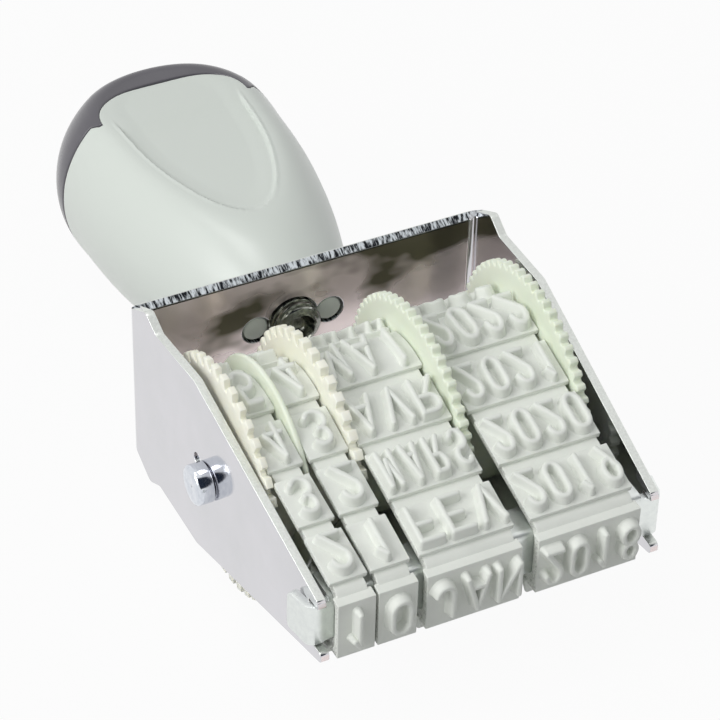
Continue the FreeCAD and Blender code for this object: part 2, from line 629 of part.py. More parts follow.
def make_band(label, start, width):
    """Rubber band: web, slabs and raised characters, printing its first word."""
    words = BANDS[label]
    count = len(words)
    path = BandPath()
    x, width = val(f"{start} + sizes.fit"), val(width)
    web, rise = val("sizes.web_wall"), val("sizes.slab_rise")
    gap, pitch = val("sizes.slab_gap"), path.length / count
    along = FreeCAD.Vector(width, 0, 0)
    solid = Part.Face(path.wire(x, web + rise)).extrude(along)
    solid = solid.cut(Part.Face(path.wire(x, 0)).extrude(along))

    def local(distance, offset):
        (y, z), angle = path.at(distance, offset)
        turn = FreeCAD.Rotation(FreeCAD.Vector(1, 0, 0), math.degrees(angle) - 90)
        return FreeCAD.Placement(FreeCAD.Vector(x + width / 2, y, z), turn)

    notches = []
    for k in range(count):
        notch = Part.makeBox(width + 2, gap, 3, FreeCAD.Vector(-width / 2 - 1, -gap / 2, 0))
        notch.Placement = local((k + 0.5) * pitch, web)
        notches.append(notch)
    solid = solid.cut(notches)
    half = val("sizes.print_half")
    (front, _), _ = path.at(0, web + rise)
    face = Part.makeBox(width, 0.9 * rise + 0.4, 2 * half, FreeCAD.Vector(x, front, -half))
    raised = [face]
    for k, word in enumerate(words):
        for piece in word_solids(word, width, val("sizes.type_height"),
                                 val("sizes.type_stroke"), val("sizes.type_root"),
                                 val("sizes.type_rise")):
            piece.Placement = local(k * pitch, web + rise)
            raised.append(piece)
    return add_shape(label, solid.fuse(raised).removeSplitter())


def add_shape(label, shape, across="0", along="0"):
    """Piece drawn about its own axis, placed across and along the stamp from the axle."""
    item = doc.addObject("Part::Feature", label)
    item.Label = label
    item.Shape = shape
    spot = FreeCAD.Vector(val(across), val(f"{AXLE_Y} + {along}"), val(AXLE_Z))
    item.Placement = FreeCAD.Placement(spot, FreeCAD.Rotation())
    return item


def handle_form(inset, start, stop):
    """Turned form of the handle, inset from its surface, between two heights."""
    stations = [("0", "sizes.handle_neck"), ("sizes.handle_low_at", "sizes.handle_low"),
                ("sizes.handle_mid_at", "sizes.handle_mid"),
                ("sizes.handle_full_at", "sizes.handle_full"),
                ("sizes.handle_wide_at", "sizes.handle_wide"),
                ("sizes.handle_dome_at", "sizes.handle_dome"),
                ("sizes.handle_top_at", "sizes.handle_top")]
    points = [FreeCAD.Vector(val(r) - inset, val(at), 0) for at, r in stations]
    points.append(FreeCAD.Vector(0, val("sizes.handle_length") - inset, 0))
    curve = Part.BSplineCurve()
    curve.interpolate(Points=points, FinalTangent=FreeCAD.Vector(-1, 0, 0),
                      InitialTangent=FreeCAD.Vector(0.6, 1, 0))
    edges = [curve.toShape(),
             Part.LineSegment(points[-1], FreeCAD.Vector(0, 0, 0)).toShape(),
             Part.LineSegment(FreeCAD.Vector(0, 0, 0), points[0]).toShape()]
    solid = Part.Face(Part.Wire(edges)).revolve(
        FreeCAD.Vector(0, 0, 0), FreeCAD.Vector(0, 1, 0), 360)
    size = 4 * val("sizes.handle_full")
    keep = Part.makeBox(size, stop - start, size, FreeCAD.Vector(-size / 2, start, -size / 2))
    return solid.common(keep)


def turned(radius, start, stop):
    return Part.makeCylinder(radius, stop - start, FreeCAD.Vector(0, start, 0),
                             FreeCAD.Vector(0, 1, 0))


def handle_outside():
    """Whole handle with its flat thumb face."""
    form = handle_form(0, 0, val("sizes.handle_length"))
    size = 4 * val("sizes.handle_full")
    flat = Part.makeBox(size, size, size, FreeCAD.Vector(-size / 2, -1, val("sizes.facet_half")))
    return form.cut(flat)


def cap_zone():
    """Space above the seam, less the tongue of the body."""
    size = 4 * val("sizes.handle_full")
    seam = val("sizes.seam_at")
    half = val("sizes.tongue_half")
    above = Part.makeBox(size, size, size, FreeCAD.Vector(-size / 2, seam, -size / 2))
    top = seam + val("sizes.tongue_rise")
    tongue = Part.makeBox(2 * half, top - seam + 1, size,
                          FreeCAD.Vector(-half, seam - 1, val("sizes.tongue_low")))
    corners = [edge for edge in tongue.Edges
               if all(abs(vertex.Point.y - top) < 1e-6 for vertex in edge.Vertexes)
               and abs(edge.Vertexes[0].Point.z - edge.Vertexes[1].Point.z) > 1]
    return above.cut(tongue.makeFillet(val("sizes.tongue_round"), corners))


def make_handle_body():
    """Moulded pear with a hollow, a screw boss and pegs in the plate's side holes."""
    wall, seam = val("sizes.handle_wall"), val("sizes.seam_at")
    boss_top = val("sizes.boss_length")
    body = handle_outside().cut(cap_zone())
    hollow = handle_form(wall, val("sizes.floor_wall"), seam)
    hollow = hollow.cut(turned(val("sizes.boss_radius"), 0, boss_top))
    flat = val("sizes.facet_half") - wall
    size = 4 * val("sizes.handle_full")
    hollow = hollow.cut(Part.makeBox(size, size, size, FreeCAD.Vector(-size / 2, 0, flat)))
    body = body.cut(hollow)
    depth = val("sizes.peg_length")
    for side in (-1, 1):
        peg = turned(val("sizes.lobe_radius - sizes.peg_clear"), -depth, 1)
        body = body.fuse(peg.translated(FreeCAD.Vector(side * val("sizes.lobe_offset"), 0, 0)))
    body = body.cut(turned(val("sizes.screw_radius + sizes.fit"), -depth - 1, boss_top + 1))
    return add_shape("handle_body", body.removeSplitter(), "sizes.handle_shift",
                     "sizes.plate_back")


def make_handle_cap():
    """Cap over the far end, with a plug inside the handle wall."""
    wall, seam = val("sizes.handle_wall"), val("sizes.seam_at")
    fit = val("sizes.fit")
    cap = handle_outside().common(cap_zone())
    plug = handle_form(wall + fit, seam - val("sizes.plug_length"), seam)
    size = 4 * val("sizes.handle_full")
    low = val("sizes.facet_half") - wall - fit
    plug = plug.cut(Part.makeBox(size, size, size, FreeCAD.Vector(-size / 2, 0, low)))
    tongue = val("sizes.tongue_low") - fit
    cap = cap.fuse(plug.cut(Part.makeBox(size, size, size, FreeCAD.Vector(
        -size / 2, seam - fit, tongue))))
    hollow = turned(val("sizes.plug_bore"), 0, seam + val("sizes.plug_depth"))
    return add_shape("handle_cap", cap.cut(hollow).removeSplitter(), "sizes.handle_shift",
                     "sizes.plate_back")


def make_screw():
    """Handle screw: head on its washer, shank through the boss, threaded cup end."""
    body = new_body("handle_screw")
    end = f"({PLATE_IN} - sizes.screw_proud)"
    seat = "(sizes.plate_back + sizes.boss_length + sizes.washer_wall)"
    top = f"({seat} + sizes.screw_head_length)"
    core = "(sizes.screw_radius - sizes.thread_depth)"
    profile = [("0", f"{end} + sizes.cup_depth"), ("sizes.cup_radius", f"{end} + sizes.cup_depth * 0.6"),
               ("sizes.cup_radius", end), (core, end)]
    for turn in range(int(val("sizes.thread_turns"))):
        low = f"{end} + sizes.thread_pitch * {turn}"
        profile.append(("sizes.screw_radius", f"{low} + sizes.thread_pitch * 0.4"))
        profile.append(("sizes.screw_radius", f"{low} + sizes.thread_pitch * 0.6"))
        profile.append((core, f"{low} + sizes.thread_pitch"))
    profile += [("sizes.screw_radius", f"{end} + sizes.thread_pitch * (sizes.thread_turns + 0.4)"),
                ("sizes.screw_radius", seat), ("sizes.screw_head", seat),
                ("sizes.screw_head", f"{top} - 0.5"), ("sizes.screw_head - 0.6", top),
                ("sizes.drive_radius", top), ("sizes.drive_radius", f"{top} - sizes.drive_depth"),
                ("0", f"{top} - sizes.drive_depth")]
    shape = outline(body, "profile", "XY_Plane", [profile])
    body.Tip = revolve(body, shape, "Y_Axis")
    bind(body, {"Placement.Base.x": "sizes.handle_shift"})
    return body


def make_washer():
    body = new_body("screw_washer")
    # The XZ plane's normal points to -Y.
    seat = "-(sizes.plate_back + sizes.boss_length)"
    shape = ring_sketch(body, "ring", "XZ_Plane",
                        ["sizes.screw_head", "sizes.screw_radius + sizes.fit"], shift=seat)
    body.Tip = pad(body, shape, "sizes.washer_wall", reverse=True)
    bind(body, {"Placement.Base.x": "sizes.handle_shift"})
    return body


# Outside radius, teeth, their height and the half of the pitch that their tips take.
COARSE = ("sizes.day_radius", "sizes.coarse_teeth", "sizes.coarse_tooth", 0.27)
FINE = ("sizes.disc_radius", "sizes.fine_teeth", "sizes.fine_tooth", 0.18)
bore_play = "2 * sizes.fit"
parts = [
    make_bracket(),
    make_saddle(),
    make_axle(),
    make_wheel("wheel_day_tens", tens_disc, "sizes.tens_wall", tens_drum,
               f"sizes.tens_width + {bore_play}", *COARSE),
    make_ring("band_separator", "sizes.separator_radius", separator_x, "sizes.separator_wall"),
    make_wheel("wheel_day_units", units_disc, "sizes.units_wall", f"{units_drum} + sizes.fit",
               "sizes.units_width + sizes.fit", *COARSE),
    make_wheel("wheel_month", month_disc, "sizes.fine_wall", f"{month_drum} + sizes.fit",
               "sizes.month_width + sizes.fit", *FINE),
    make_wheel("wheel_year", year_disc, "sizes.fine_wall", year_drum,
               f"sizes.year_width + {bore_play}", *FINE, hub=year_hub),
    make_ring("axle_spacer", "sizes.hub_radius", f"{spacer_x} + sizes.fit",
              f"{CHEEK_IN} - sizes.side_play / 2 - {spacer_x} - 2 * sizes.fit"),
    make_band("band_day_tens", tens_drum, "sizes.tens_width"),
    make_band("band_day_units", units_drum, "sizes.units_width"),
    make_band("band_month", month_drum, "sizes.month_width"),
    make_band("band_year", year_drum, "sizes.year_width"),
    make_handle_body(),
    make_handle_cap(),
    make_screw(),
    make_washer(),
]

doc.recompute()
failed = [item.Name for item in doc.Objects if {"Invalid", "Error"} & set(item.State)]
if failed:
    raise RuntimeError("failed objects: " + ", ".join(failed))
for piece in parts:
    if piece.Shape.isNull() or not piece.Shape.isValid() or not piece.Shape.Solids:
        raise RuntimeError(f"{piece.Label} has no valid solid")

os.makedirs("parts", exist_ok=True)
for piece in parts:
    piece.Shape.exportStep(f"parts/{piece.Label}.step")
    box = piece.Shape.BoundBox
    print(f"{piece.Label:18s} solids {len(piece.Shape.Solids)}  volume {piece.Shape.Volume:9.2f}"
          f"  x {box.XMin:7.2f} {box.XMax:7.2f}  y {box.YMin:7.2f} {box.YMax:7.2f}"
          f"  z {box.ZMin:7.2f} {box.ZMax:7.2f}")
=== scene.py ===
import json
import math

import bmesh
import bpy
from mathutils import Matrix, Vector


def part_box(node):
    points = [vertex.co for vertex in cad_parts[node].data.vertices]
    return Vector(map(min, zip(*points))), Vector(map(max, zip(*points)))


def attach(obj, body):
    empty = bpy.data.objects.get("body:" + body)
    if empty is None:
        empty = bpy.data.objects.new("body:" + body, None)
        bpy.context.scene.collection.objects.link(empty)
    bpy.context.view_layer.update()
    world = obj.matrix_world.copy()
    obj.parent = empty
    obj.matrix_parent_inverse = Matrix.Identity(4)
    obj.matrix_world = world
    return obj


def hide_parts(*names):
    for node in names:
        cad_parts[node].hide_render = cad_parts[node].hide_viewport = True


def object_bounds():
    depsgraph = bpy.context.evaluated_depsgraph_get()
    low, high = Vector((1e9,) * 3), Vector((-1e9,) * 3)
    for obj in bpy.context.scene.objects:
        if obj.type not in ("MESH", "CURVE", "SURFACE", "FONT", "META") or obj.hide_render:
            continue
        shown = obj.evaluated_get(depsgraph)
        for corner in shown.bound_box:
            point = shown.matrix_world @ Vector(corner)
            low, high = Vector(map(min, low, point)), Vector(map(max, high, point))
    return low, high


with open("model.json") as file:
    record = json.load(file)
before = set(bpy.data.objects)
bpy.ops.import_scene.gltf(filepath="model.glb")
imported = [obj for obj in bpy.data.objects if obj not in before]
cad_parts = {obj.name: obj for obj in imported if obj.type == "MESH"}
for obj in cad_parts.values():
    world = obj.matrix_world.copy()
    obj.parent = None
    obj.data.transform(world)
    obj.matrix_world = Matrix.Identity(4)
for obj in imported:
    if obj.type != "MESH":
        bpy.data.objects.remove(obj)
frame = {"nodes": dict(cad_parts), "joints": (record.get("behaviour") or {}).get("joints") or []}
cad_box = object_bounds()
nodes = frame["nodes"]

# Shapes are drawn in millimetres about the wheel axle, then moved into the row frame.
MM = 0.001
AXLE = Vector(frame["joints"][0]["pos_m"])
TO_ROW = Matrix.Translation(AXLE) @ Matrix.Scale(MM, 4)
X, Y, Z = 0, 1, 2


def span_x(node):
    """Lowest and highest place of a CAD node along the axle, in mm from its middle."""
    low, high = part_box(node)
    return (low[X] - AXLE[X]) * 1000, (high[X] - AXLE[X]) * 1000


# Materials

def new_material(name):
    """A material with its node tree and its main shader."""
    mat = bpy.data.materials.new(name)
    mat.use_nodes = True
    tree = mat.node_tree
    shader = tree.nodes["Principled BSDF"]
    return mat, tree, shader


def node(tree, kind, **values):
    """A new node, with values for its sockets or its settings."""
    item = tree.nodes.new(kind)
    for key, value in values.items():
        if key in item.inputs:
            item.inputs[key].default_value = value
        else:
            setattr(item, key, value)
    return item


def feed(tree, socket, value):
    """Set a socket to a constant, or link another node's output to it."""
    if isinstance(value, (tuple, float, int)):
        socket.default_value = value
    else:
        tree.links.new(value, socket)


def noise(tree, coords, scale, detail=3.0, rough=0.55, stretch=(1, 1, 1)):
    """Cloudy value of 0 to 1, with a scale in cells per metre."""
    mapping = node(tree, "ShaderNodeMapping", Scale=stretch)
    tree.links.new(coords, mapping.inputs["Vector"])
    item = node(tree, "ShaderNodeTexNoise", Scale=scale, Detail=detail, Roughness=rough)
    tree.links.new(mapping.outputs["Vector"], item.inputs["Vector"])
    return item.outputs["Fac"]


def ranged(tree, value, low, high, out_low=0.0, out_high=1.0):
    """Value carried from one range to another, and held at its ends."""
    item = node(tree, "ShaderNodeMapRange")
    limits = {"From Min": low, "From Max": high, "To Min": out_low, "To Max": out_high}
    for name, limit in limits.items():
        item.inputs[name].default_value = limit
    tree.links.new(value, item.inputs["Value"])
    return item.outputs["Result"]


def math_node(tree, operation, a, b):
    item = node(tree, "ShaderNodeMath", operation=operation)
    feed(tree, item.inputs[0], a)
    feed(tree, item.inputs[1], b)
    return item.outputs[0]


def mixed(tree, factor, a, b):
    """Colour between a and b."""
    item = node(tree, "ShaderNodeMix", data_type="RGBA")
    for index, value in ((0, factor), (6, a), (7, b)):
        feed(tree, item.inputs[index], value)
    return item.outputs[2]


def blend_values(tree, factor, a, b):
    """Number between a and b."""
    item = node(tree, "ShaderNodeMix", data_type="FLOAT")
    for index, value in ((0, factor), (2, a), (3, b)):
        feed(tree, item.inputs[index], value)
    return item.outputs[0]


def rgb(r, g, b):
    """Display colour in 0-255 to the shader's linear colour."""
    def one(v):
        v /= 255
        return v / 12.92 if v <= 0.04045 else ((v + 0.055) / 1.055) ** 2.4
    return (one(r), one(g), one(b), 1.0)


def object_coords(tree):
    return node(tree, "ShaderNodeTexCoord").outputs["Object"]


def add_bump(tree, shader, height, strength, distance):
    bump = node(tree, "ShaderNodeBump", Strength=strength, Distance=distance)
    tree.links.new(height, bump.inputs["Height"])
    tree.links.new(bump.outputs["Normal"], shader.inputs["Normal"])


def part_of(tree, output, axis):
    """One axis of a vector in the row frame."""
    split = node(tree, "ShaderNodeSeparateXYZ")
    tree.links.new(output, split.inputs[0])
    return split.outputs[axis]


def geometry(tree, output):
    return node(tree, "ShaderNodeNewGeometry").outputs[output]


def facing(tree, axis, sign, low, high):
    """Share of a face that looks along one signed axis of the row, 0 to 1."""
    along = part_of(tree, geometry(tree, "True Normal"), axis)
    return ranged(tree, math_node(tree, "MULTIPLY", along, sign), low, high)


GRAIN_DEPTH = 0.00004


def plastic(name, colour, shade, roughness, grain, grain_bump, soft=0.0):
    """Moulded plastic with a faint cloud of a second shade and a fine grain in its gloss."""
    mat, tree, shader = new_material(name)
    coords = object_coords(tree)
    cloud = noise(tree, coords, grain * 0.12, 2.0)
    fine = noise(tree, coords, grain, 4.0)
    tree.links.new(mixed(tree, ranged(tree, cloud, 0.35, 0.65), colour, shade),
                   shader.inputs["Base Color"])
    tree.links.new(ranged(tree, fine, 0.1, 0.9, roughness * 0.85, roughness * 1.18),
                   shader.inputs["Roughness"])
    if grain_bump:
        add_bump(tree, shader, fine, grain_bump, GRAIN_DEPTH)
    if soft:
        shader.inputs["Subsurface Weight"].default_value = soft
        shader.inputs["Subsurface Radius"].default_value = (1.0, 0.9, 0.7)
        shader.inputs["Subsurface Scale"].default_value = 0.0006
    return mat


def rubber(name, side_shade):
    """Matt rubber, with dark specks of painted shade on the side faces of a band, where the gaps
    between bands lie in shadow.
    """
    mat, tree, shader = new_material(name)
    coords = object_coords(tree)
    cloud = noise(tree, coords, 260, 3.0)
    fine = noise(tree, coords, 5200, 5.0, 0.7)
    across = part_of(tree, geometry(tree, "True Normal"), X)
    side = ranged(tree, math_node(tree, "ABSOLUTE", across, 0.0), 0.9, 0.98)
    # Painted shade: dark specks only on faces that look along the axle, for the shadow in the gaps
    # between bands.
    shade_specks = ranged(tree, noise(tree, coords, 4200, 3.0, 0.75), 0.47, 0.62, 0.0, side_shade)
    base = mixed(tree, ranged(tree, cloud, 0.35, 0.65), rgb(235, 238, 231), rgb(229, 232, 225))
    dark = mixed(tree, math_node(tree, "MULTIPLY", shade_specks, side), base, rgb(112, 112, 106))
    tree.links.new(dark, shader.inputs["Base Color"])
    tree.links.new(ranged(tree, fine, 0.3, 0.7, 0.48, 0.66), shader.inputs["Roughness"])
    add_bump(tree, shader, fine, 0.22, 0.00006)
    shader.inputs["Specular IOR Level"].default_value = 0.4
    return mat


# Where the look of the bracket changes, in metres in the row frame.
PLATE_EDGE = (AXLE.y + 0.0135, AXLE.y + 0.0137)
EDGE_RIM = (AXLE.y + 0.0146, AXLE.y + 0.01467)
# Painted shadow: a dark line along the top of the plate's inside face, under its edge.
PAINTED_SHADOW_Z = (AXLE.z + 0.0064, AXLE.z + 0.00644)
# Painted reflection: the inside of the plate gets darker towards its top, as it mirrors the gaps
# between the wheels.
PAINTED_REFLECTION_Z = (AXLE.z - 0.002, AXLE.z + 0.0065)


def steel_sheet():
    """Plated sheet: smooth outside, duller and warmer inside the plate, where its colour has a
    painted reflection and a painted shadow line, with sheared edges.
    """
    mat, tree, shader = new_material("bright_steel")
    coords = object_coords(tree)
    haze = noise(tree, coords, 190, 4.0, 0.6)
    cloud = noise(tree, coords, 95, 3.0, 0.6, stretch=(1.0, 1.0, 1.7))
    fine = noise(tree, coords, 2600, 4.0, 0.7)
    shear = noise(tree, coords, 1700, 2.5, 0.6, stretch=(2.6, 0.4, 1.0))
    grain = noise(tree, coords, 5200, 3.0, 0.7)
    place_y = part_of(tree, geometry(tree, "Position"), Y)
    place_z = part_of(tree, geometry(tree, "Position"), Z)
    edge = facing(tree, Z, 1.0, 0.6, 0.78)
    inside = facing(tree, Y, -1.0, 0.9, 0.98)
    plate_edge = math_node(tree, "MULTIPLY", ranged(tree, place_y, *PLATE_EDGE),
                           ranged(tree, place_y, *EDGE_RIM, 1.0, 0.0))
    # Painted reflection of the wheels and bands: a cloud of light and dark patches, more dark
    # towards the top.
    painted_reflection = math_node(tree, "ADD", cloud, ranged(tree, place_z, *PAINTED_REFLECTION_Z, 0.0, 0.14))

    outer = mixed(tree, ranged(tree, haze, 0.35, 0.7), rgb(212, 211, 215), rgb(207, 207, 210))
    # Inside the plate the colour is painted reflection: pale pink patches for the bands, dark olive
    # patches for the gaps.
    dull = mixed(tree, ranged(tree, painted_reflection, 0.57, 0.7), rgb(242, 228, 227), rgb(98, 94, 76))
    # Painted shadow line under the plate's top edge.
    dull = mixed(tree, ranged(tree, place_z, *PAINTED_SHADOW_Z), dull, rgb(52, 55, 50))
    hatch = mixed(tree, ranged(tree, shear, 0.42, 0.58), rgb(30, 32, 36), rgb(196, 202, 206))
    strip = mixed(tree, ranged(tree, grain, 0.4, 0.62), rgb(216, 219, 215), rgb(204, 207, 203))
    cut = mixed(tree, plate_edge, strip, hatch)
    tree.links.new(mixed(tree, edge, mixed(tree, inside, outer, dull), cut),
                   shader.inputs["Base Color"])

    smooth_face = ranged(tree, haze, 0.3, 0.7, 0.06, 0.12)
    dull_face = ranged(tree, cloud, 0.4, 0.6, 0.2, 0.32)
    rough = blend_values(tree, edge, blend_values(tree, inside, smooth_face, dull_face), 0.42)
    tree.links.new(rough, shader.inputs["Roughness"])
    tree.links.new(blend_values(tree, inside, 1.0, 0.72), shader.inputs["Metallic"])
    sheared = math_node(tree, "MULTIPLY", shear, math_node(tree, "MULTIPLY", edge, plate_edge))
    height = math_node(tree, "ADD", math_node(tree, "MULTIPLY", fine, 0.1), sheared)
    add_bump(tree, shader, height, 0.3, GRAIN_DEPTH)
    return mat


def turned_steel(name, light, dark, roughness, grooves=(1, 1, 1)):
    """Plain metal with a fine grain, which grooves may stretch."""
    mat, tree, shader = new_material(name)
    fine = noise(tree, object_coords(tree), 1800, 4.0, 0.7, stretch=grooves)
    tree.links.new(mixed(tree, ranged(tree, fine, 0.35, 0.65), light, dark),
                   shader.inputs["Base Color"])
    tree.links.new(ranged(tree, fine, 0.3, 0.7, roughness * 0.8, roughness * 1.3),
                   shader.inputs["Roughness"])
    add_bump(tree, shader, fine, 0.12, GRAIN_DEPTH)
    shader.inputs["Metallic"].default_value = 1.0
    return mat


STEEL = steel_sheet()
SADDLE = turned_steel("saddle_steel", rgb(232, 236, 233), rgb(226, 230, 228), 0.34)
PIN = turned_steel("pin_steel", rgb(222, 226, 232), rgb(205, 210, 218), 0.1, grooves=(4, 1, 1))
SCREW = turned_steel("screw_steel", rgb(150, 152, 146), rgb(104, 106, 98), 0.16)
# The bands' side faces get painted shade in dark specks; the raised type gets none.
RUBBER = rubber("type_rubber", 0.4)
TYPE = rubber("type_raised", 0.0)
CREAM = plastic("cream_plastic", rgb(252, 252, 238), rgb(249, 248, 230), 0.34, 900, 0.05, soft=0.2)
MINT = plastic("pale_plastic", rgb(239, 245, 229), rgb(234, 242, 222), 0.34, 900, 0.05, soft=0.2)
HANDLE = plastic("handle_plastic", rgb(215, 221, 214), rgb(211, 217, 210), 0.3, 120, 0.0)
CAP = plastic("cap_plastic", rgb(92, 90, 96), rgb(86, 84, 90), 0.2, 1500, 0.03)


# Building blocks

def add_piece(name, mesh, body, material, replaces=(), bevel=0.0, segments=2, angle=32):
    """Mesh drawn in mm about the axle, as a piece that rides on a body."""
    mesh.transform(TO_ROW)
    return finish_piece(name, mesh, body, material, replaces, bevel, segments, angle)


def finish_piece(name, mesh, body, material, replaces, bevel, segments, angle):
    """Mesh in the row frame, as a piece with rounded or plain edges that rides on a body."""
    for polygon in mesh.polygons:
        polygon.use_smooth = True
    obj = bpy.data.objects.new(name, mesh)
    bpy.context.scene.collection.objects.link(obj)
    mesh.materials.clear()
    mesh.materials.append(material)
    if bevel:
        mod = obj.modifiers.new("edges", "BEVEL")
        mod.width = bevel * MM
        mod.segments = segments
        mod.limit_method = "ANGLE"
        mod.angle_limit = math.radians(angle)
        mod.use_clamp_overlap = True
        mod = obj.modifiers.new("shading", "WEIGHTED_NORMAL")
        mod.keep_sharp = True
    else:
        mesh.set_sharp_from_angle(angle=math.radians(angle))
    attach(obj, body)
    if replaces:
        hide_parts(*replaces)
    return obj


def to_mesh(bm, name):
    """Finished mesh, with its faces turned outward."""
    bmesh.ops.recalc_face_normals(bm, faces=bm.faces)
    mesh = bpy.data.meshes.new(name)
    bm.to_mesh(mesh)
    bm.free()
    return mesh


def smooth(low, high, value):
    """Soft step from 0 at low to 1 at high."""
    t = min(1.0, max(0.0, (value - low) / (high - low)))
    return t * t * (3 - 2 * t)


def neighbours(rows, wrap):
    """Successive pairs, and the last with the first when they wrap."""
    return list(zip(rows, rows[1:])) + ([(rows[-1], rows[0])] if wrap else [])


def add_rings(bm, rings, wrap=False):
    """Quads between neighbouring rings of points."""
    rows = [[bm.verts.new(point) for point in ring] for ring in rings]
    for a, b in neighbours(rows, wrap):
        for k in range(len(a)):
            m = (k + 1) % len(a)
            bm.faces.new((a[k], a[m], b[m], b[k]))
    return rows


def add_bar(bm, rings):
    """Shell along rings of points, with a flat face at both ends."""
    rows = add_rings(bm, rings)
    bm.faces.new(rows[0])
    bm.faces.new(list(reversed(rows[-1])))


def fan_close(bm, ring, point):
    """Close an open ring with a fan, which stays inside the piece."""
    middle = bm.verts.new(point)
    for k in range(len(ring)):
        bm.faces.new((ring[k], ring[(k + 1) % len(ring)], middle))


def arc(cy, cz, radius, start, stop, steps):
    """Points on an arc, from a start to a stop angle in degrees."""
    turn = (stop - start) / steps
    return [(cy + radius * math.cos(math.radians(start + turn * n)),
             cz + radius * math.sin(math.radians(start + turn * n))) for n in range(steps + 1)]


def circle(steps):
    """Cosine and sine of even steps round a circle."""
    return [(math.cos(2 * math.pi * k / steps), math.sin(2 * math.pi * k / steps))
            for k in range(steps)]


def round_ring(x, radius, steps=96):
    """Ring about the axle."""
    return [(x, radius * c, radius * s) for c, s in circle(steps)]


def lathe(name, profile, steps=96):
    """Surface turned about the axle from points of (place along it, radius)."""
    bm = bmesh.new()
    add_rings(bm, [round_ring(x, radius, steps) for x, radius in profile], wrap=True)
    return to_mesh(bm, name)


def cad_copy(name, cad, material, bevel):
    """The CAD node's own shape with its edges softened, on the stamp's body."""
    bm = bmesh.new()
    bm.from_mesh(nodes[cad].data)
    bmesh.ops.remove_doubles(bm, verts=bm.verts, dist=1e-6)
    bmesh.ops.dissolve_limit(bm, angle_limit=math.radians(0.6), verts=bm.verts, edges=bm.edges)
    return finish_piece(name, to_mesh(bm, name), "stamp_body", material, (cad,), bevel, 2, 32)


# Bracket

PLATE_Y, PLATE_INNER_Y = 14.8, 14.05
BEND_X, BEND_Y = 14.7, 13.5
PLATE_HALF, EDGE_LOW, EDGE_REACH = 6.9, 6.6, 0.7
# The slots and the holes are found by where they lie in the bracket.
SLOT_SIDE, SLOT_FRONT, SLOT_BACK, SLOT_TALL = 14, -1.4, 3.0, 1.8
HOLES_WIDE, HOLES_Y, HOLES_TALL = 5.5, 13.9, 3.0
SLOT_RUN, SLOT_SLOPE, SLOT_REACH, SLOT_WIDTH = 1.4, 0.393, 1.4, 0.5
PRONG_Y, PRONG_Z, PRONG_FALL, PRONG_BACK = -18.2, 1.9, 0.3, 0.25
HANDLE_X = -1.2
# The screw and its holes sit a little off the handle axis.
HOLE_SHIFT = (-0.25, 1.25)


def reshape_bracket(mesh):
    """Narrow the axle slots, move the holes, square the plate's edge and round the prong tips."""
    for vertex in mesh.vertices:
        x, y, z = ((vertex.co[k] - AXLE[k]) * 1000 for k in range(3))
        if abs(x) > SLOT_SIDE and SLOT_FRONT < y < SLOT_BACK and abs(z) < SLOT_TALL:
            middle = min(SLOT_RUN, max(0.0, y))
            level = SLOT_SLOPE * middle
            vertex.co.y = AXLE.y + MM * (SLOT_REACH * middle + SLOT_WIDTH * (y - middle))
            vertex.co.z = AXLE.z + MM * (SLOT_REACH * level + SLOT_WIDTH * (z - level))
        if abs(x - HANDLE_X) < HOLES_WIDE and y > HOLES_Y and abs(z) < HOLES_TALL:
            vertex.co.x += HOLE_SHIFT[0] * MM
            vertex.co.z += HOLE_SHIFT[1] * MM
        from_bend = math.hypot(max(0.0, abs(x) - BEND_X), y - BEND_Y)
        if y > BEND_Y and abs(z) > PLATE_HALF and from_bend < EDGE_REACH:
            goal = EDGE_LOW if z > 0 else -PLATE_HALF
            vertex.co.z = AXLE.z + MM * (z + (goal - z) * smooth(BEND_Y, PLATE_INNER_Y, y))
        ahead, above = PRONG_Y - y, z - PRONG_Z
        if ahead > 0 and above > 0:
            vertex.co.y += MM * (0.5 * ahead + PRONG_BACK * min(1.0, above))
            vertex.co.z -= MM * PRONG_FALL * min(1.0, above)


bracket = cad_copy("bracket", "frame_bracket", STEEL, 0.07)
reshape_bracket(bracket.data)

# Saddle

CHANNEL_X, CHANNEL_FRONT, CHANNEL_BACK, CHANNEL_HALF = 13.42, -18.0, -15.0, 2.3
CHANNEL_WALL, CHANNEL_BEND = 0.8, 0.6
STRIP_WALL, STRIP_HALF, STRIP_BEND, WING_RUN, WING_CORNER = 0.7, 1.95, 0.9, 2.15, 0.5


def strip_path():
    """Outside of the saddle's strip from above, from the channel round the cheek to the wing."""
    points = [(-13.3, -18.0), (-13.7, -18.03), (-14.1, -18.17)]
    points += arc(-14.45, -17.3, STRIP_BEND, -95, -163, 12)
    x, y = points[-1]
    for n in range(1, 12):
        run = WING_RUN * n / 11
        points.append((x - 0.2 * run, y + 0.98 * run))
    return [Vector(point) for point in points]


def strip_rings(side):
    """Sections along the strip and the wing of one side, with rounded wing corners."""
    path = strip_path()
    length = sum((b - a).length for a, b in zip(path, path[1:]))
    rings = []
    walked = 0.0
    for k, point in enumerate(path):
        before, after = path[max(k - 1, 0)], path[min(k + 1, len(path) - 1)]
        walked += (point - before).length
        way = (after - before).normalized()
        back = point + Vector((way.y, -way.x)) * STRIP_WALL
        left = length - walked
        half = STRIP_HALF - 0.1 * smooth(2.4, 1.2, left)
        if left < WING_CORNER:
            rise = WING_CORNER ** 2 - (WING_CORNER - left) ** 2
            half -= WING_CORNER - math.sqrt(max(rise, 0.0))
        rings.append([(side * p.x, p.y, z) for p, z in
                      ((point, half), (point, -half), (back, -half), (back, half))])
    return rings


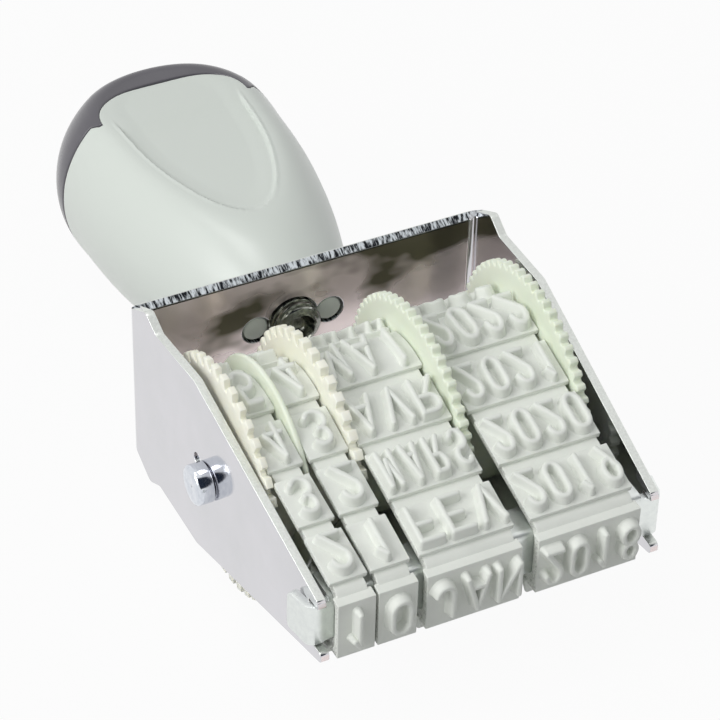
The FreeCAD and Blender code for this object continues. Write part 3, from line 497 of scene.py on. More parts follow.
def saddle_mesh():
    """Folded channel behind the printing slabs, with a strip and a wing at each end."""
    bm = bmesh.new()
    bend_y, bend_z = CHANNEL_FRONT + CHANNEL_BEND, CHANNEL_HALF - CHANNEL_BEND
    inner_y, inner_z = CHANNEL_FRONT + CHANNEL_WALL, CHANNEL_HALF - CHANNEL_WALL
    outline = [(CHANNEL_BACK, CHANNEL_HALF)]
    outline += arc(bend_y, bend_z, CHANNEL_BEND, 90, 180, 6)
    outline += arc(bend_y, -bend_z, CHANNEL_BEND, 180, 270, 6)
    outline += [(CHANNEL_BACK, -CHANNEL_HALF), (CHANNEL_BACK, -inner_z), (inner_y, -inner_z),
                (inner_y, inner_z), (CHANNEL_BACK, inner_z)]
    add_bar(bm, [[(x, y, z) for y, z in outline] for x in (-CHANNEL_X, 0.0, CHANNEL_X)])
    for side in (1, -1):
        add_bar(bm, strip_rings(side))
    return to_mesh(bm, "saddle")


add_piece("saddle", saddle_mesh(), "stamp_body", SADDLE, ("print_saddle",),
          bevel=0.09, segments=3, angle=35)
cad_copy("spacer", "axle_spacer", MINT, 0.08)

# Axle pin

HEAD_LENGTH, HEAD_R, NECK_R, SHAFT_R, SHOULDER = 1.45, 1.7, 0.62, 1.7, 14.41
KEY_X, KEY_R = (14.6, 15.2), 0.41


def pin_profile():
    """Points of (place along the axle, radius) from one end of the pin to the other."""
    tip = span_x("axle_pin")[1]
    head = tip - HEAD_LENGTH
    half = [(0.0, SHAFT_R), (SHOULDER - 0.05, SHAFT_R), (SHOULDER, SHAFT_R - 0.05),
            (SHOULDER, NECK_R), (head - 0.08, NECK_R),
            (head - 0.08, HEAD_R - 0.28), (head, HEAD_R - 0.24),
            (head, HEAD_R - 0.08), (head + 0.06, HEAD_R),
            (tip - 0.3, HEAD_R), (tip - 0.14, HEAD_R - 0.05),
            (tip - 0.04, HEAD_R - 0.2), (tip, HEAD_R - 0.38),
            (tip - 0.015, HEAD_R * 0.5), (tip - 0.03, 0.02)]
    return [(-x, r) for x, r in reversed(half[1:])] + half


def slot_key_mesh():
    """Flats on the pin's necks that fill the slots behind the axle."""
    bm = bmesh.new()
    far = (SLOT_REACH * SLOT_RUN, 0.77)
    outline = arc(*far, KEY_R, -90, 90, 12) + arc(0.0, 0.0, KEY_R, 90, 270, 12)
    for side in (1, -1):
        add_bar(bm, [[(side * x, y, z) for y, z in outline] for x in KEY_X])
    return to_mesh(bm, "slot_keys")


add_piece("pin", lathe("pin", pin_profile()), "stamp_body", PIN, ("axle_pin",),
          bevel=0.03, angle=40)
add_piece("slot_keys", slot_key_mesh(), "stamp_body", PIN, bevel=0.04, angle=40)


# Wheels

BORE, DRUM, HUB_R, HUB_RUN = 1.75, 6.4, 3.0, 0.45
DISH_IN, DISH_OUT = 7.6, 7.9


def toothed_loop(over, count, depth, tip, foot):
    """Outline of a toothed disc, in Y and Z."""
    points = []
    pitch = 2 * math.pi / count
    root = over - depth
    for k in range(count):
        middle = math.pi / 2 + k * pitch
        for place, radius in ((-foot, root), (-tip, over), (tip, over), (foot, root)):
            a = middle + place * pitch
            points.append((radius * math.cos(a), radius * math.sin(a)))
    return points


def wheel_mesh(name, disc, drum, hub, over, count, depth, tip, foot):
    """Drum, toothed disc and maybe a hub of one wheel, as closed shells that touch."""
    bm = bmesh.new()
    loop = toothed_loop(over, count, depth, tip, foot)
    angles = [math.atan2(z, y) for y, z in loop]
    low, high = disc
    inner = over - depth - 0.35
    dish = 0.06 * (high - low)

    def ring(x, radius):
        return [(x, radius * math.cos(a), radius * math.sin(a)) for a in angles]

    add_rings(bm, [ring(low, BORE), ring(low, DISH_IN), ring(low + dish, DISH_OUT),
                   ring(low + dish, inner - 0.5), ring(low, inner),
                   [(low, y, z) for y, z in loop], [(high, y, z) for y, z in loop],
                   ring(high, inner), ring(high - dish, inner - 0.5), ring(high - dish, DISH_OUT),
                   ring(high, DISH_IN), ring(high, BORE)], wrap=True)
    for reach, radius in ((drum, DRUM), (hub, HUB_R)):
        if reach:
            left, right = reach
            add_rings(bm, [round_ring(left, BORE), round_ring(left, radius),
                           round_ring(right, radius), round_ring(right, BORE)], wrap=True)
    return to_mesh(bm, name)


# Radius over the teeth, their number and height, and half a tooth's width at tip and foot.
COARSE, FINE = (10.25, 40, 0.85, 0.25, 0.36), (10.6, 60, 0.5, 0.17, 0.38)
# Node, body, slot, look, teeth, the disc's side of the drum and its thickness.
WHEELS = (
    ("wheel_day_tens", "day_tens_turns", "cream_plastic", CREAM, COARSE, "low", 0.55),
    ("wheel_day_units", "day_units_turns", "cream_plastic", CREAM, COARSE, "high", 0.75),
    ("wheel_month", "month_turns", "pale_plastic", MINT, FINE, "high", 0.8),
    ("wheel_year", "year_turns", "pale_plastic", MINT, FINE, "high", 0.8),
)
for cad, body, slot, mat, form, side, wall in WHEELS:
    low, high = span_x(cad)
    disc = (low, low + wall) if side == "low" else (high - wall, high)
    drum = (low + wall, high) if side == "low" else (low, high - wall)
    hub = None
    if cad == "wheel_year":
        hub, drum = (low, low + HUB_RUN), (low + HUB_RUN, high - wall)
    mesh = wheel_mesh(cad + "_turned", disc, drum, hub, *form)
    add_piece(cad.replace("wheel_", "toothed_"), mesh, body, mat, (cad,),
              bevel=0.1, segments=3, angle=26)

SMOOTH_R = 9.05
low, high = span_x("band_separator")
edge = [(low, BORE), (low, SMOOTH_R - 0.16), (low + 0.05, SMOOTH_R - 0.05), (low + 0.15, SMOOTH_R),
        (high - 0.15, SMOOTH_R), (high - 0.05, SMOOTH_R - 0.05), (high, SMOOTH_R - 0.16),
        (high, BORE)]
add_piece("smooth_disc", lathe("smooth_disc", edge, 128), "day_tens_turns",
          MINT, ("band_separator",), angle=50)


# Bands

BAND_INNER, BAND_FRONT, BAND_HALF, BEND = 6.55, 18.1, 2.4, 0.85
WEB, RISE, GAP, PRINT_HALF, PRINT_LIP = 0.85, 0.4, 1.0, 2.55, 0.35
OUTER = WEB + RISE
WEB_INSET, SLAB_ROOT, SPREAD_FROM = 0.3, 0.15, 8.5
TYPE_HEIGHT, STROKE, STROKE_ENDS = 4.0, 0.62, 0.86


class BandPath:
    """Inside path of a band: round the saddle at the front and the drum at the back."""

    def __init__(self):
        self.drum, self.bend = BAND_INNER, BEND
        self.corner = (-BAND_FRONT + BEND, BAND_HALF - BEND)
        reach = math.hypot(*self.corner)
        self.lean = (math.atan2(self.corner[1], self.corner[0])
                     - math.acos((self.drum - self.bend) / reach))
        run = math.sqrt(reach ** 2 - (self.drum - self.bend) ** 2)
        self.spans = (self.corner[1], (math.pi - self.lean) * (self.bend + WEB / 2), run,
                      self.lean * (self.drum + WEB / 2))
        self.length = 2 * sum(self.spans)

    def at(self, distance, offset):
        """Y and Z at a distance round the band, and a height over its inside."""
        distance = (distance + self.length / 2) % self.length - self.length / 2
        side = 1 if distance >= 0 else -1
        left = abs(distance)
        face, corner, run, _ = self.spans
        if left <= face:
            angle = math.pi
            y, z = self.corner[0] - self.bend, left
        elif left <= face + corner:
            angle = math.pi - (left - face) / (self.bend + WEB / 2)
            y = self.corner[0] + self.bend * math.cos(angle)
            z = self.corner[1] + self.bend * math.sin(angle)
        elif left <= face + corner + run:
            angle = self.lean
            ahead = left - face - corner
            y = self.corner[0] + self.bend * math.cos(angle) + ahead * math.sin(angle)
            z = self.corner[1] + self.bend * math.sin(angle) - ahead * math.cos(angle)
        else:
            angle = self.lean - (left - face - corner - run) / (self.drum + WEB / 2)
            y, z = self.drum * math.cos(angle), self.drum * math.sin(angle)
        return (y + offset * math.cos(angle), side * (z + offset * math.sin(angle)))


PATH = BandPath()


def bow(cx, cy, rx, ry, start, stop, steps=12):
    """Arc of a stroke, from a start to a stop angle in degrees."""
    turn = (stop - start) / steps
    return [(cx + rx * math.cos(math.radians(start + turn * k)),
             cy + ry * math.sin(math.radians(start + turn * k))) for k in range(steps + 1)]


OVAL = bow(0.5, 0.72, 0.5, 0.28, 0, 180, 16) + bow(0.5, 0.28, 0.5, 0.28, 180, 360, 16)
OVAL.append(OVAL[0])
# Strokes of each character, in a box one wide and one high.
GLYPHS = {
    "0": [OVAL],
    "1": [[(0.22, 0.82), (0.5, 1.0)], [(0.5, 1.0), (0.5, 0.0)]],
    "2": [bow(0.5, 0.72, 0.48, 0.28, 170, -30) + [(0.0, 0.0)], [(0.0, 0.0), (1.0, 0.0)]],
    "3": [bow(0.46, 0.76, 0.44, 0.24, 150, -90), bow(0.46, 0.27, 0.52, 0.27, 90, -150)],
    "4": [[(0.7, 0.0), (0.7, 1.0)], [(0.7, 1.0), (0.0, 0.28)], [(0.0, 0.28), (1.0, 0.28)]],
    "5": [[(0.92, 1.0), (0.16, 1.0)], [(0.16, 1.0), (0.08, 0.55)],
          bow(0.48, 0.31, 0.5, 0.31, 120, -150)],
    "6": [[(0.76, 1.0), (0.1, 0.42)], bow(0.5, 0.3, 0.48, 0.3, 0, 360, 24)],
    "7": [[(0.0, 1.0), (1.0, 1.0)], [(1.0, 1.0), (0.35, 0.0)]],
    "8": [bow(0.5, 0.77, 0.42, 0.23, -90, 270, 24), bow(0.5, 0.27, 0.5, 0.27, 90, 450, 24)],
    "9": [[(0.24, 0.0), (0.9, 0.58)], bow(0.5, 0.7, 0.48, 0.3, 0, 360, 24)],
    "A": [[(0.0, 0.0), (0.5, 1.0)], [(0.5, 1.0), (1.0, 0.0)], [(0.2, 0.3), (0.8, 0.3)]],
    "C": [bow(0.52, 0.7, 0.5, 0.3, 30, 180) + bow(0.52, 0.3, 0.5, 0.3, 180, 330)],
    "D": [[(0.0, 0.0), (0.0, 1.0)],
          [(0.0, 1.0), (0.4, 1.0)] + bow(0.4, 0.5, 0.6, 0.5, 75, -75) + [(0.4, 0.0), (0.0, 0.0)]],
    "E": [[(1.0, 1.0), (0.0, 1.0)], [(0.0, 1.0), (0.0, 0.0)], [(0.0, 0.0), (1.0, 0.0)],
          [(0.0, 0.52), (0.8, 0.52)]],
    "F": [[(1.0, 1.0), (0.0, 1.0)], [(0.0, 1.0), (0.0, 0.0)], [(0.0, 0.52), (0.8, 0.52)]],
    "I": [[(0.5, 0.0), (0.5, 1.0)]],
    "J": [[(0.85, 1.0), (0.85, 0.28)] + bow(0.45, 0.28, 0.4, 0.28, -8, -170)],
    "L": [[(0.1, 1.0), (0.1, 0.0)], [(0.1, 0.0), (0.95, 0.0)]],
    "M": [[(0.0, 0.0), (0.08, 1.0)], [(0.08, 1.0), (0.5, 0.25)], [(0.5, 0.25), (0.92, 1.0)],
          [(0.92, 1.0), (1.0, 0.0)]],
    "N": [[(0.0, 0.0), (0.0, 1.0)], [(0.0, 1.0), (1.0, 0.0)], [(1.0, 0.0), (1.0, 1.0)]],
    "O": [OVAL],
    "P": [[(0.0, 0.0), (0.0, 1.0)],
          [(0.0, 1.0), (0.55, 1.0)] + bow(0.55, 0.74, 0.42, 0.26, 75, -75)
          + [(0.55, 0.48), (0.0, 0.48)]],
    "R": [[(0.0, 0.0), (0.0, 1.0)],
          [(0.0, 1.0), (0.55, 1.0)] + bow(0.55, 0.76, 0.4, 0.24, 75, -75)
          + [(0.55, 0.52), (0.0, 0.52)],
          [(0.45, 0.5), (1.0, 0.0)]],
    "S": [bow(0.5, 0.76, 0.46, 0.24, 30, 250) + bow(0.5, 0.27, 0.5, 0.27, 80, -150)],
    "T": [[(0.0, 1.0), (1.0, 1.0)], [(0.5, 1.0), (0.5, 0.0)]],
    "U": [[(0.0, 1.0), (0.0, 0.3)] + bow(0.5, 0.3, 0.5, 0.3, 188, 352) + [(1.0, 0.3), (1.0, 1.0)]],
    "V": [[(0.0, 1.0), (0.5, 0.0)], [(0.5, 0.0), (1.0, 1.0)]],
}
DIGITS = [str(n) for n in range(1, 10)]
# Words of each band, and where its printing slab sits across the saddle.
BANDS = {
    "band_day_tens": (DIGITS + ["0", "", ""], (-13.35, -10.18)),
    "band_day_units": (["0"] + DIGITS + ["", ""], (-9.95, -6.65)),
    "band_month": (["JAN", "FEV", "MARS", "AVR", "MAI", "JUIN",
                    "JUIL", "AOUT", "SEPT", "OCT", "NOV", "DEC"], (-5.89, 2.21)),
    "band_year": ([str(2018 + n) for n in range(12)], (3.59, 12.56)),
}

# Half section of a moulded stroke: distance from its middle line, height over the slab.
SECTION = ((0.44, -0.12), (0.41, 0.02), (0.34, 0.13), (0.29, 0.35), (0.24, 0.68), (0.2, 0.82),
           (0.13, 0.89), (0.0, 0.9))
FULL_SECTION = list(SECTION) + [(-w, h) for w, h in reversed(SECTION[:-1])]


def tangent(a, b):
    return (b - a).normalized()


def round_end(point, way, side, shrink):
    """Sections that turn a stroke's side round to its end."""
    turns = []
    for step in range(1, 7):
        a = math.pi / 2 * step / 6
        turns.append([point + (side * math.copysign(1, w or 1) * math.cos(a)
                               + way * math.sin(a)) * abs(w) * shrink for w, _ in FULL_SECTION])
    return turns


def sweep_stroke(bm, points, warp, shrink):
    """Raised stroke along a line of points, with round ends; a line that closes has none."""
    closed = (points[0] - points[-1]).length < 1e-4
    if closed:
        points = points[:-1]
    count = len(points)
    rows = []
    for k, point in enumerate(points):
        before = points[k - 1] if (k or closed) else None
        after = points[(k + 1) % count] if (k < count - 1 or closed) else None
        if before is None:
            way, stretch = tangent(point, after), 1.0
        elif after is None:
            way, stretch = tangent(before, point), 1.0
        else:
            one, two = tangent(before, point), tangent(point, after)
            way = (one + two).normalized()
            stretch = min(1.5, 1.0 / max(0.4, way.dot(one)))
        side = Vector((-way.y, way.x))
        rows.append([point + side * w * stretch * shrink for w, _ in FULL_SECTION])
    if not closed:
        way = tangent(points[1], points[0])
        first = round_end(points[0], way, Vector((way.y, -way.x)), shrink)
        way = tangent(points[-2], points[-1])
        last = round_end(points[-1], way, Vector((-way.y, way.x)), shrink)
        rows = list(reversed(first)) + rows + last
    heights = [h * shrink for _, h in FULL_SECTION]
    grid = [[bm.verts.new(warp(p.x, p.y, h)) for p, h in zip(row, heights)] for row in rows]
    for a, b in neighbours(grid, closed):
        for k in range(len(heights) - 1):
            bm.faces.new((a[k], a[k + 1], b[k + 1], b[k]))


def add_word(bm, word, width, warp):
    """Raised characters of one slab, spread evenly over its width."""
    cell = width / max(len(word), 1)
    widest = 0.55 * TYPE_HEIGHT if len(word) > 1 else 1.5
    letter = min(cell - 1.55 * STROKE, widest)
    for index, sign in enumerate(word):
        left = (index + 0.5 - len(word) / 2) * cell - letter / 2
        for order, stroke in enumerate(GLYPHS[sign]):
            points = [Vector((left + x * letter, (0.5 - y) * (TYPE_HEIGHT - STROKE_ENDS)))
                      for x, y in stroke]
            # Later strokes are a little smaller, so that no two surfaces lie in one place.
            sweep_stroke(bm, points, warp, 1 - 0.012 * order)


def make_band(cad):
    """One band: its web and slabs, and the characters on them as a piece of their own."""
    words, front = BANDS[cad]
    low, high = span_x(cad)
    pitch = PATH.length / len(words)

    def across(share, y):
        """Place across the band: it spreads a little between the drum and the saddle."""
        near = min(1.0, max(0.0, (-y - SPREAD_FROM) / (BAND_FRONT - SPREAD_FROM)))
        left = low + (front[0] - low) * near
        right = high + (front[1] - high) * near
        return left + (right - left) * share

    def section(inner, outer, inset=0.0):
        """Four corners across the band, from a place inside it to one outside."""
        return [(across(share, y), y, z) for share, (y, z) in
                ((inset, inner), (1 - inset, inner), (1 - inset, outer), (inset, outer))]

    bm = bmesh.new()
    inset = WEB_INSET / (high - low)
    places = [PATH.length * n / 240 for n in range(240)]
    add_rings(bm, [section(PATH.at(place, 0.0), PATH.at(place, WEB), inset) for place in places],
              wrap=True)
    half = (pitch - GAP) / 2
    for k in range(len(words)):
        start, stop = k * pitch - half, k * pitch + half
        if k == 0:
            start, stop = -PRINT_HALF - PRINT_LIP, PRINT_HALF
        rings = []
        for n in range(15):
            place = start + (stop - start) * n / 14
            top = (-BAND_FRONT - OUTER, place) if k == 0 else PATH.at(place, OUTER)
            rings.append(section(PATH.at(place, WEB - SLAB_ROOT), top))
        add_bar(bm, rings)
    add_piece(cad.replace("band_", "loop_"), to_mesh(bm, cad + "_web"), "stamp_body",
              RUBBER, (cad,), bevel=0.07, segments=2, angle=40)

    bm = bmesh.new()
    width = front[1] - front[0]
    for k, word in enumerate(words):
        def warp(x, v, h, k=k):
            """Point of a character, from its place on the slab and its height over it."""
            flat = (-BAND_FRONT - OUTER - h, v)
            y, z = flat if k == 0 else PATH.at(k * pitch + v, OUTER + h)
            return Vector((across(0.5 + x / width, y), y, z))
        add_word(bm, word, width, warp)
    add_piece(cad.replace("band_", "type_"), to_mesh(bm, cad + "_type"), "stamp_body",
              TYPE, angle=60)


for cad in BANDS:
    make_band(cad)


# Handle, cap, screw

FACET, LEAN, CREASE = 7.7, -0.02, 1.1
HANDLE_END, CAP_KNEE, WIDEST = 31.4, 25.5, 10.45
# Distance from the plate and radius.
STATIONS = ((0.0, 5.5), (7.5, 8.4), (15.0, 10.0), (21.0, WIDEST), (CAP_KNEE, 10.4), (28.9, 8.65),
            (30.6, 5.7), (HANDLE_END, 0.0))
START_WAY = Vector((0.6, 1.0)).normalized() * 2.4
END_WAY = Vector((-1.0, 0.0)) * 2.6


def handle_curve(steps=40):
    """Smooth half outline of the handle: (distance from the plate, radius)."""
    knots = [Vector((r, u)) for u, r in STATIONS]
    size = [(b - a).length ** 0.5 for a, b in zip(knots, knots[1:])]
    slopes = [START_WAY]
    for k in range(1, len(knots) - 1):
        a, b = size[k - 1], size[k]
        one, two = (knots[k] - knots[k - 1]) / a, (knots[k + 1] - knots[k]) / b
        slopes.append((one * b + two * a) / (a + b))
    slopes.append(END_WAY)
    points = []
    for k, reach in enumerate(size):
        for n in range(steps):
            t = n / steps
            t2, t3 = t * t, t ** 3
            points.append(knots[k] * (2 * t3 - 3 * t2 + 1) + slopes[k] * reach * (t3 - 2 * t2 + t)
                          + knots[k + 1] * (3 * t2 - 2 * t3) + slopes[k + 1] * reach * (t3 - t2))
    points.append(knots[-1])
    return [(p.y, max(p.x, 0.0)) for p in points]


CURVE = handle_curve()
END_CURVE = [(u, r) for u, r in CURVE if u > CAP_KNEE]
END_RUN = sum(math.dist(a, b) for a, b in zip(END_CURVE, END_CURVE[1:]))


def radius_at(u):
    """Radius of the handle at a distance from the plate, and its slope."""
    low, high = 0, len(CURVE) - 1
    while high - low > 1:
        middle = (low + high) // 2
        if CURVE[middle][0] <= u:
            low = middle
        else:
            high = middle
    (u0, r0), (u1, r1) = CURVE[low], CURVE[high]
    slope = (r1 - r0) / max(u1 - u0, 1e-6)
    return r0 + slope * (min(u, u1) - u0), slope


def past_knee(run):
    """Distance from the plate, radius and slope after a run past the cap's knee."""
    if run < 0:
        return (CAP_KNEE + run, *radius_at(CAP_KNEE + run))
    walked = 0.0
    for a, b in zip(END_CURVE, END_CURVE[1:]):
        step = math.dist(a, b)
        if walked + step >= run or b is END_CURVE[-1]:
            share = min(1.0, (run - walked) / max(step, 1e-9))
            slope = (b[1] - a[1]) / max(b[0] - a[0], 1e-4)
            return a[0] + (b[0] - a[0]) * share, a[1] + (b[1] - a[1]) * share, slope
        walked += step


def blend_low(a, b, reach):
    """Lower of two heights with a rounded crease."""
    h = min(1.0, max(0.0, 0.5 + 0.5 * (b - a) / reach))
    return b * (1 - h) + a * h - reach * h * (1 - h)


def skin(u, radius, slope, angle, sunk=0.0, thumb=True):
    """Point on the handle: a turned form with a flat thumb face, which has an inner panel."""
    r = max(radius - sunk, 0.0)
    x, z = r * math.sin(angle), r * math.cos(angle)
    if z > 0 and radius > FACET - 1.5:
        full = math.sqrt(max(radius ** 2 - x ** 2, 0.01))
        steep = math.hypot(x, radius * slope) / full
        inside = (full - FACET) / max(steep, 0.12)
        level = FACET + 0.1 - 0.1 * smooth(0.0, 1.6, inside)
        if thumb:
            step = smooth(1.5, 1.85, inside)
            panel = step * (1 - smooth(20.0, 24.0, u))
            ridge = smooth(1.1, 1.5, inside) * (1 - step)
            level += (0.1 * ridge - 0.3 * panel) * (1 - smooth(21.0, 24.0, u))
            level -= 0.1 * smooth(2.0, 5.0, inside)
        z = blend_low(z, level - sunk, CREASE)
    return Vector((HANDLE_X + x + LEAN * u, PLATE_Y + u, z))


SEAM, TONGUE, LIFT, SHOULDER_RUN, DIP = 23.8, 6.75, 3.85, 0.75, 0.55
BODY_SIDE, CAP_SIDE = -0.2, 0.16
FOOT_ROUND = 0.25
# How far the lip at the seam runs on, and how deep it has sunk there.
LIP = ((0.06, 0.012), (0.11, 0.05), (0.14, 0.12), (0.15, 0.7))


def seam_at(angle):
    """Distance from the plate of the seam round the handle, with the tongue on the thumb face."""
    x = WIDEST * math.sin(angle)
    if math.cos(angle) < 0 or abs(x) > TONGUE + SHOULDER_RUN:
        return SEAM
    dip = DIP * smooth(TONGUE + SHOULDER_RUN, TONGUE + 0.35, abs(x))
    if abs(x) >= TONGUE:
        return SEAM - dip
    share = abs(x) / TONGUE
    return SEAM - dip + LIFT * (1 - share ** 3.4) ** (1 / 2.1)


def seam_columns():
    """Angles round the handle, closer together where the tongue's sides are steep."""
    side = math.asin(TONGUE / WIDEST)
    marks = [side * math.sin(math.pi / 2 * k / 60) for k in range(-60, 61)]
    near = (0.004, 0.012, 0.022, 0.034, 0.05, 0.066)
    for step in near:
        marks += [side + step, -side - step]
    rest = 2 * math.pi - 2 * side - 2 * near[-1]
    count = 92
    marks += [side + near[-1] + rest * k / count for k in range(1, count)]
    return sorted(set(round((mark + 2 * math.pi) % (2 * math.pi), 6) for mark in marks))


ANGLES = seam_columns()


def seam_ring(shift, sunk, thumb=True):
    """Ring round the handle beside the seam."""
    ring = []
    for angle in ANGLES:
        u = seam_at(angle) + shift
        ring.append(skin(u, *radius_at(u), angle, sunk, thumb))
    return ring


def body_rings():
    """Rings of the handle's body from the plate to the seam."""
    rings = []
    radius, slope = radius_at(FOOT_ROUND)
    for n in range(4):
        a = math.pi / 2 * n / 4
        u, r = FOOT_ROUND * (1 - math.cos(a)), radius - FOOT_ROUND * (1 - math.sin(a))
        rings.append([skin(u, r, slope, angle) for angle in ANGLES])
    rows = 84
    for n in range(rows + 1):
        ring = []
        for angle in ANGLES:
            run = seam_at(angle) + BODY_SIDE - FOOT_ROUND
            u = FOOT_ROUND + run * (n / rows) ** 0.9
            ring.append(skin(u, *radius_at(u), angle))
        rings.append(ring)
    return rings + [seam_ring(BODY_SIDE + along, sunk) for along, sunk in LIP]


def cap_rings():
    """Rings of the cap from the seam to the handle's end."""
    rings = [seam_ring(CAP_SIDE - along, sunk, False) for along, sunk in reversed(LIP)]
    rows = 70
    for n in range(rows):
        ring = []
        for angle in ANGLES:
            before = CAP_KNEE - (seam_at(angle) + CAP_SIDE)
            place = past_knee(n / rows * (before + END_RUN) - before)
            ring.append(skin(*place, angle, thumb=False))
        rings.append(ring)
    return rings


SCREW_X, SCREW_Z = HANDLE_X + HOLE_SHIFT[0], HOLE_SHIFT[1]
# Place of the pegs beside the screw, and their (distance from the plate, radius).
PEG_X = 3.35
PEG = ((0.2, 1.1), (-0.5, 1.1), (-0.58, 1.06), (-0.6, 0.98), (-0.57, 0.6))


def about_y(x, y, z, radius, steps):
    """Ring round a line along Y."""
    return [(x + radius * s, y, z + radius * c) for c, s in circle(steps)]


def add_peg(bm, x):
    """Peg of the handle in one of the plate's outer holes."""
    rows = add_rings(bm, [about_y(x, PLATE_Y + along, SCREW_Z, radius, 40)
                          for along, radius in PEG])
    for row, (along, _) in ((rows[0], PEG[0]), (rows[-1], PEG[-1])):
        fan_close(bm, row, (x, PLATE_Y + along, SCREW_Z))


bm = bmesh.new()
rows = add_rings(bm, body_rings())
fan_close(bm, rows[0], (HANDLE_X, PLATE_Y, 0))
fan_close(bm, rows[-1], (HANDLE_X + LEAN * SEAM, PLATE_Y + SEAM + 1.0, 0))
for side in (-1, 1):
    add_peg(bm, SCREW_X + side * PEG_X)
add_piece("grip", to_mesh(bm, "grip"), "stamp_body", HANDLE,
          ("handle_body",), angle=40)

bm = bmesh.new()
rows = add_rings(bm, cap_rings())
fan_close(bm, rows[0], (HANDLE_X + LEAN * SEAM, PLATE_Y + SEAM + 2.0, 0))
fan_close(bm, rows[-1], (HANDLE_X + LEAN * HANDLE_END, PLATE_Y + HANDLE_END, 0))
add_piece("end_cap", to_mesh(bm, "end_cap"), "stamp_body", CAP,
          ("handle_cap",), angle=40)

SCREW_START, SCREW_STOP, CREST, THREAD_DEPTH, THREAD_PITCH = 12.6, 20.0, 2.1, 0.34, 0.6
# Depth in the hollow end and radius.
CUP = ((1.5, 0.02), (1.42, 0.5), (1.2, 0.95), (0.75, 1.22), (0.1, 1.33), (0.0, 1.4))
SEAT = PLATE_Y + 20.3


def thread_ring(along):
    """Ring of the thread, which fades at the screw's chamfered start."""
    run = along - SCREW_START
    chamfer = 0.25 * (1 - min(1.0, run / 0.3))
    ring = []
    for k in range(72):
        turn = (along / THREAD_PITCH - k / 72) % 1.0
        rise = max(0.0, min(1.0, (0.5 - abs(turn - 0.5)) * 3.4 - 0.18))
        radius = CREST - THREAD_DEPTH + THREAD_DEPTH * rise * min(1.0, run / 0.5) - chamfer
        a = 2 * math.pi * k / 72
        ring.append((SCREW_X + radius * math.sin(a), along, SCREW_Z + radius * math.cos(a)))
    return ring


def screw_mesh():
    """Threaded rod with a cupped end, and its head inside the handle."""
    bm = bmesh.new()
    rings = [about_y(SCREW_X, SCREW_START + along, SCREW_Z, radius, 72) for along, radius in CUP]
    run = SCREW_STOP - SCREW_START
    count = int(run / THREAD_PITCH * 12)
    for n in range(count + 1):
        rings.append(thread_ring(SCREW_START + 0.05 + (run - 0.05) * n / count))
    rings.append(about_y(SCREW_X, SCREW_STOP, SCREW_Z, 0.02, 72))
    add_rings(bm, rings)
    head = ((19.9, 0.1), (19.9, 1.8), (SEAT, 1.8), (SEAT, 3.5), (SEAT + 0.1, 3.6),
            (SEAT + 1.9, 3.6), (SEAT + 2.4, 3.0), (SEAT + 2.4, 1.5), (SEAT + 1.1, 1.5),
            (SEAT + 1.1, 0.1))
    add_rings(bm, [about_y(HANDLE_X, along, 0, radius, 48) for along, radius in head])
    return to_mesh(bm, "screw")


add_piece("screw", screw_mesh(), "stamp_body", SCREW, ("handle_screw",), angle=35)
cad_copy("washer", "screw_washer", SCREW, 0.06)


# Light, room, floor, camera

LIT_PLACE = Vector((0, 0, 0.01))


def area_light(name, place, size, power):
    """Square lamp that faces the stamp."""
    data = bpy.data.lights.new(name, "AREA")
    data.shape = "SQUARE"
    data.size = size
    data.energy = power
    obj = bpy.data.objects.new(name, data)
    obj.location = place
    obj.rotation_euler = (LIT_PLACE - Vector(place)).to_track_quat("-Z", "Y").to_euler()
    bpy.context.scene.collection.objects.link(obj)


area_light("key", (-0.41, -0.075, 0.29), 0.3, 1.3)
area_light("top", (-0.12, 0.06, 0.42), 0.14, 0.34)
area_light("right", (0.405, 0.09, 0.20), 0.3, 0.12)


def shown_rays(tree):
    """One for camera, glossy and transmitted rays, which show the pale studio, else zero."""
    path = node(tree, "ShaderNodeLightPath")
    total = math_node(tree, "MAXIMUM", path.outputs["Is Camera Ray"], path.outputs["Is Glossy Ray"])
    return math_node(tree, "MAXIMUM", total, path.outputs["Is Transmission Ray"])


def end_tree(tree, kind, factor, plain, shown):
    """Output of a tree that changes from a plain shader to the one that shows."""
    mix = node(tree, "ShaderNodeMixShader")
    tree.links.new(factor, mix.inputs["Fac"])
    tree.links.new(plain.outputs[0], mix.inputs[1])
    tree.links.new(shown.outputs[0], mix.inputs[2])
    tree.links.new(mix.outputs[0], node(tree, kind).inputs["Surface"])


WHITE = (1, 1, 1, 1)
# Where the dark end of the studio lies, as bright metal shows it.
DARK_WAY = (0.0, -0.73, 0.68)

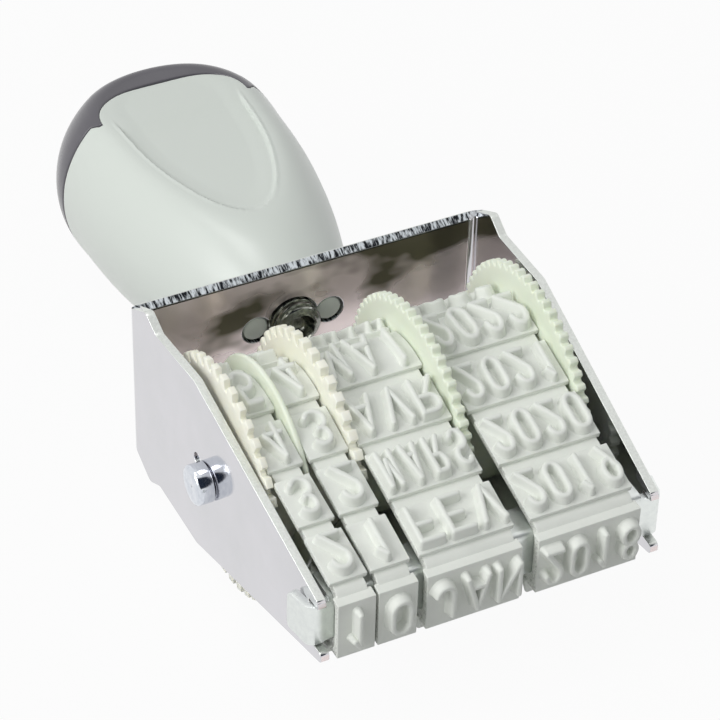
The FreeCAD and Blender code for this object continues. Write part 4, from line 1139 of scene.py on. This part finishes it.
world = bpy.data.worlds.new("studio")
bpy.context.scene.world = world
world.use_nodes = True
tree = world.node_tree
tree.nodes.clear()
lit = node(tree, "ShaderNodeBackground", Color=(0.97, 0.98, 1.0, 1), Strength=0.40)
seen = node(tree, "ShaderNodeBackground", Strength=1.0)
toward = node(tree, "ShaderNodeVectorMath", operation="DOT_PRODUCT")
tree.links.new(node(tree, "ShaderNodeTexCoord").outputs["Generated"], toward.inputs[0])
toward.inputs[1].default_value = DARK_WAY
glossy = node(tree, "ShaderNodeLightPath").outputs["Is Glossy Ray"]
dark = math_node(tree, "MULTIPLY", ranged(tree, toward.outputs["Value"], 0.83, 0.89), glossy)
tree.links.new(mixed(tree, dark, WHITE, rgb(34, 42, 56)), seen.inputs["Color"])
end_tree(tree, "ShaderNodeOutputWorld", shown_rays(tree), lit, seen)

FLOOR_HALF, FLOOR_DROP, FLOOR_GLOW = 3.0, 0.00002, 0.95
floor_mesh = bpy.data.meshes.new("floor")
floor_mesh.from_pydata([(-FLOOR_HALF, -FLOOR_HALF, 0), (FLOOR_HALF, -FLOOR_HALF, 0),
                        (FLOOR_HALF, FLOOR_HALF, 0), (-FLOOR_HALF, FLOOR_HALF, 0)],
                       [], [(0, 1, 2, 3)])
floor = bpy.data.objects.new("floor", floor_mesh)
bpy.context.scene.collection.objects.link(floor)
floor.location.z = cad_box[0][2] - FLOOR_DROP
mat = bpy.data.materials.new("floor")
mat.use_nodes = True
tree = mat.node_tree
tree.nodes.clear()
diffuse = node(tree, "ShaderNodeBsdfDiffuse", Color=(0.5, 0.5, 0.5, 1))
glow = node(tree, "ShaderNodeEmission", Color=WHITE, Strength=1.0)
end_tree(tree, "ShaderNodeOutputMaterial",
         math_node(tree, "MULTIPLY", shown_rays(tree), FLOOR_GLOW), diffuse, glow)
floor_mesh.materials.append(mat)

# Focal length and picture width in pixels, and the camera's place from the axle.
FOCAL_PIXELS, PICTURE_PIXELS = 3031.95, 720
CAMERA_PLACE = Vector((-0.085266, -0.162809, 0.160807))
camera_data = bpy.data.cameras.new("camera")
camera_data.sensor_width = 36
camera_data.lens = FOCAL_PIXELS * camera_data.sensor_width / PICTURE_PIXELS
camera_data.clip_start = 0.01
camera_data.clip_end = 20
camera = bpy.data.objects.new("camera", camera_data)
bpy.context.scene.collection.objects.link(camera)
right = Vector((0.89866, -0.43813, 0.02136))
up = Vector((0.26661, 0.58422, 0.76656))
back = Vector((-0.34833, -0.68318, 0.64182))
turn = Matrix((right, up, back)).transposed().to_4x4()
camera.matrix_world = Matrix.Translation(AXLE + CAMERA_PLACE) @ turn
bpy.context.scene.camera = camera

bpy.context.scene.view_settings.view_transform = "Standard"
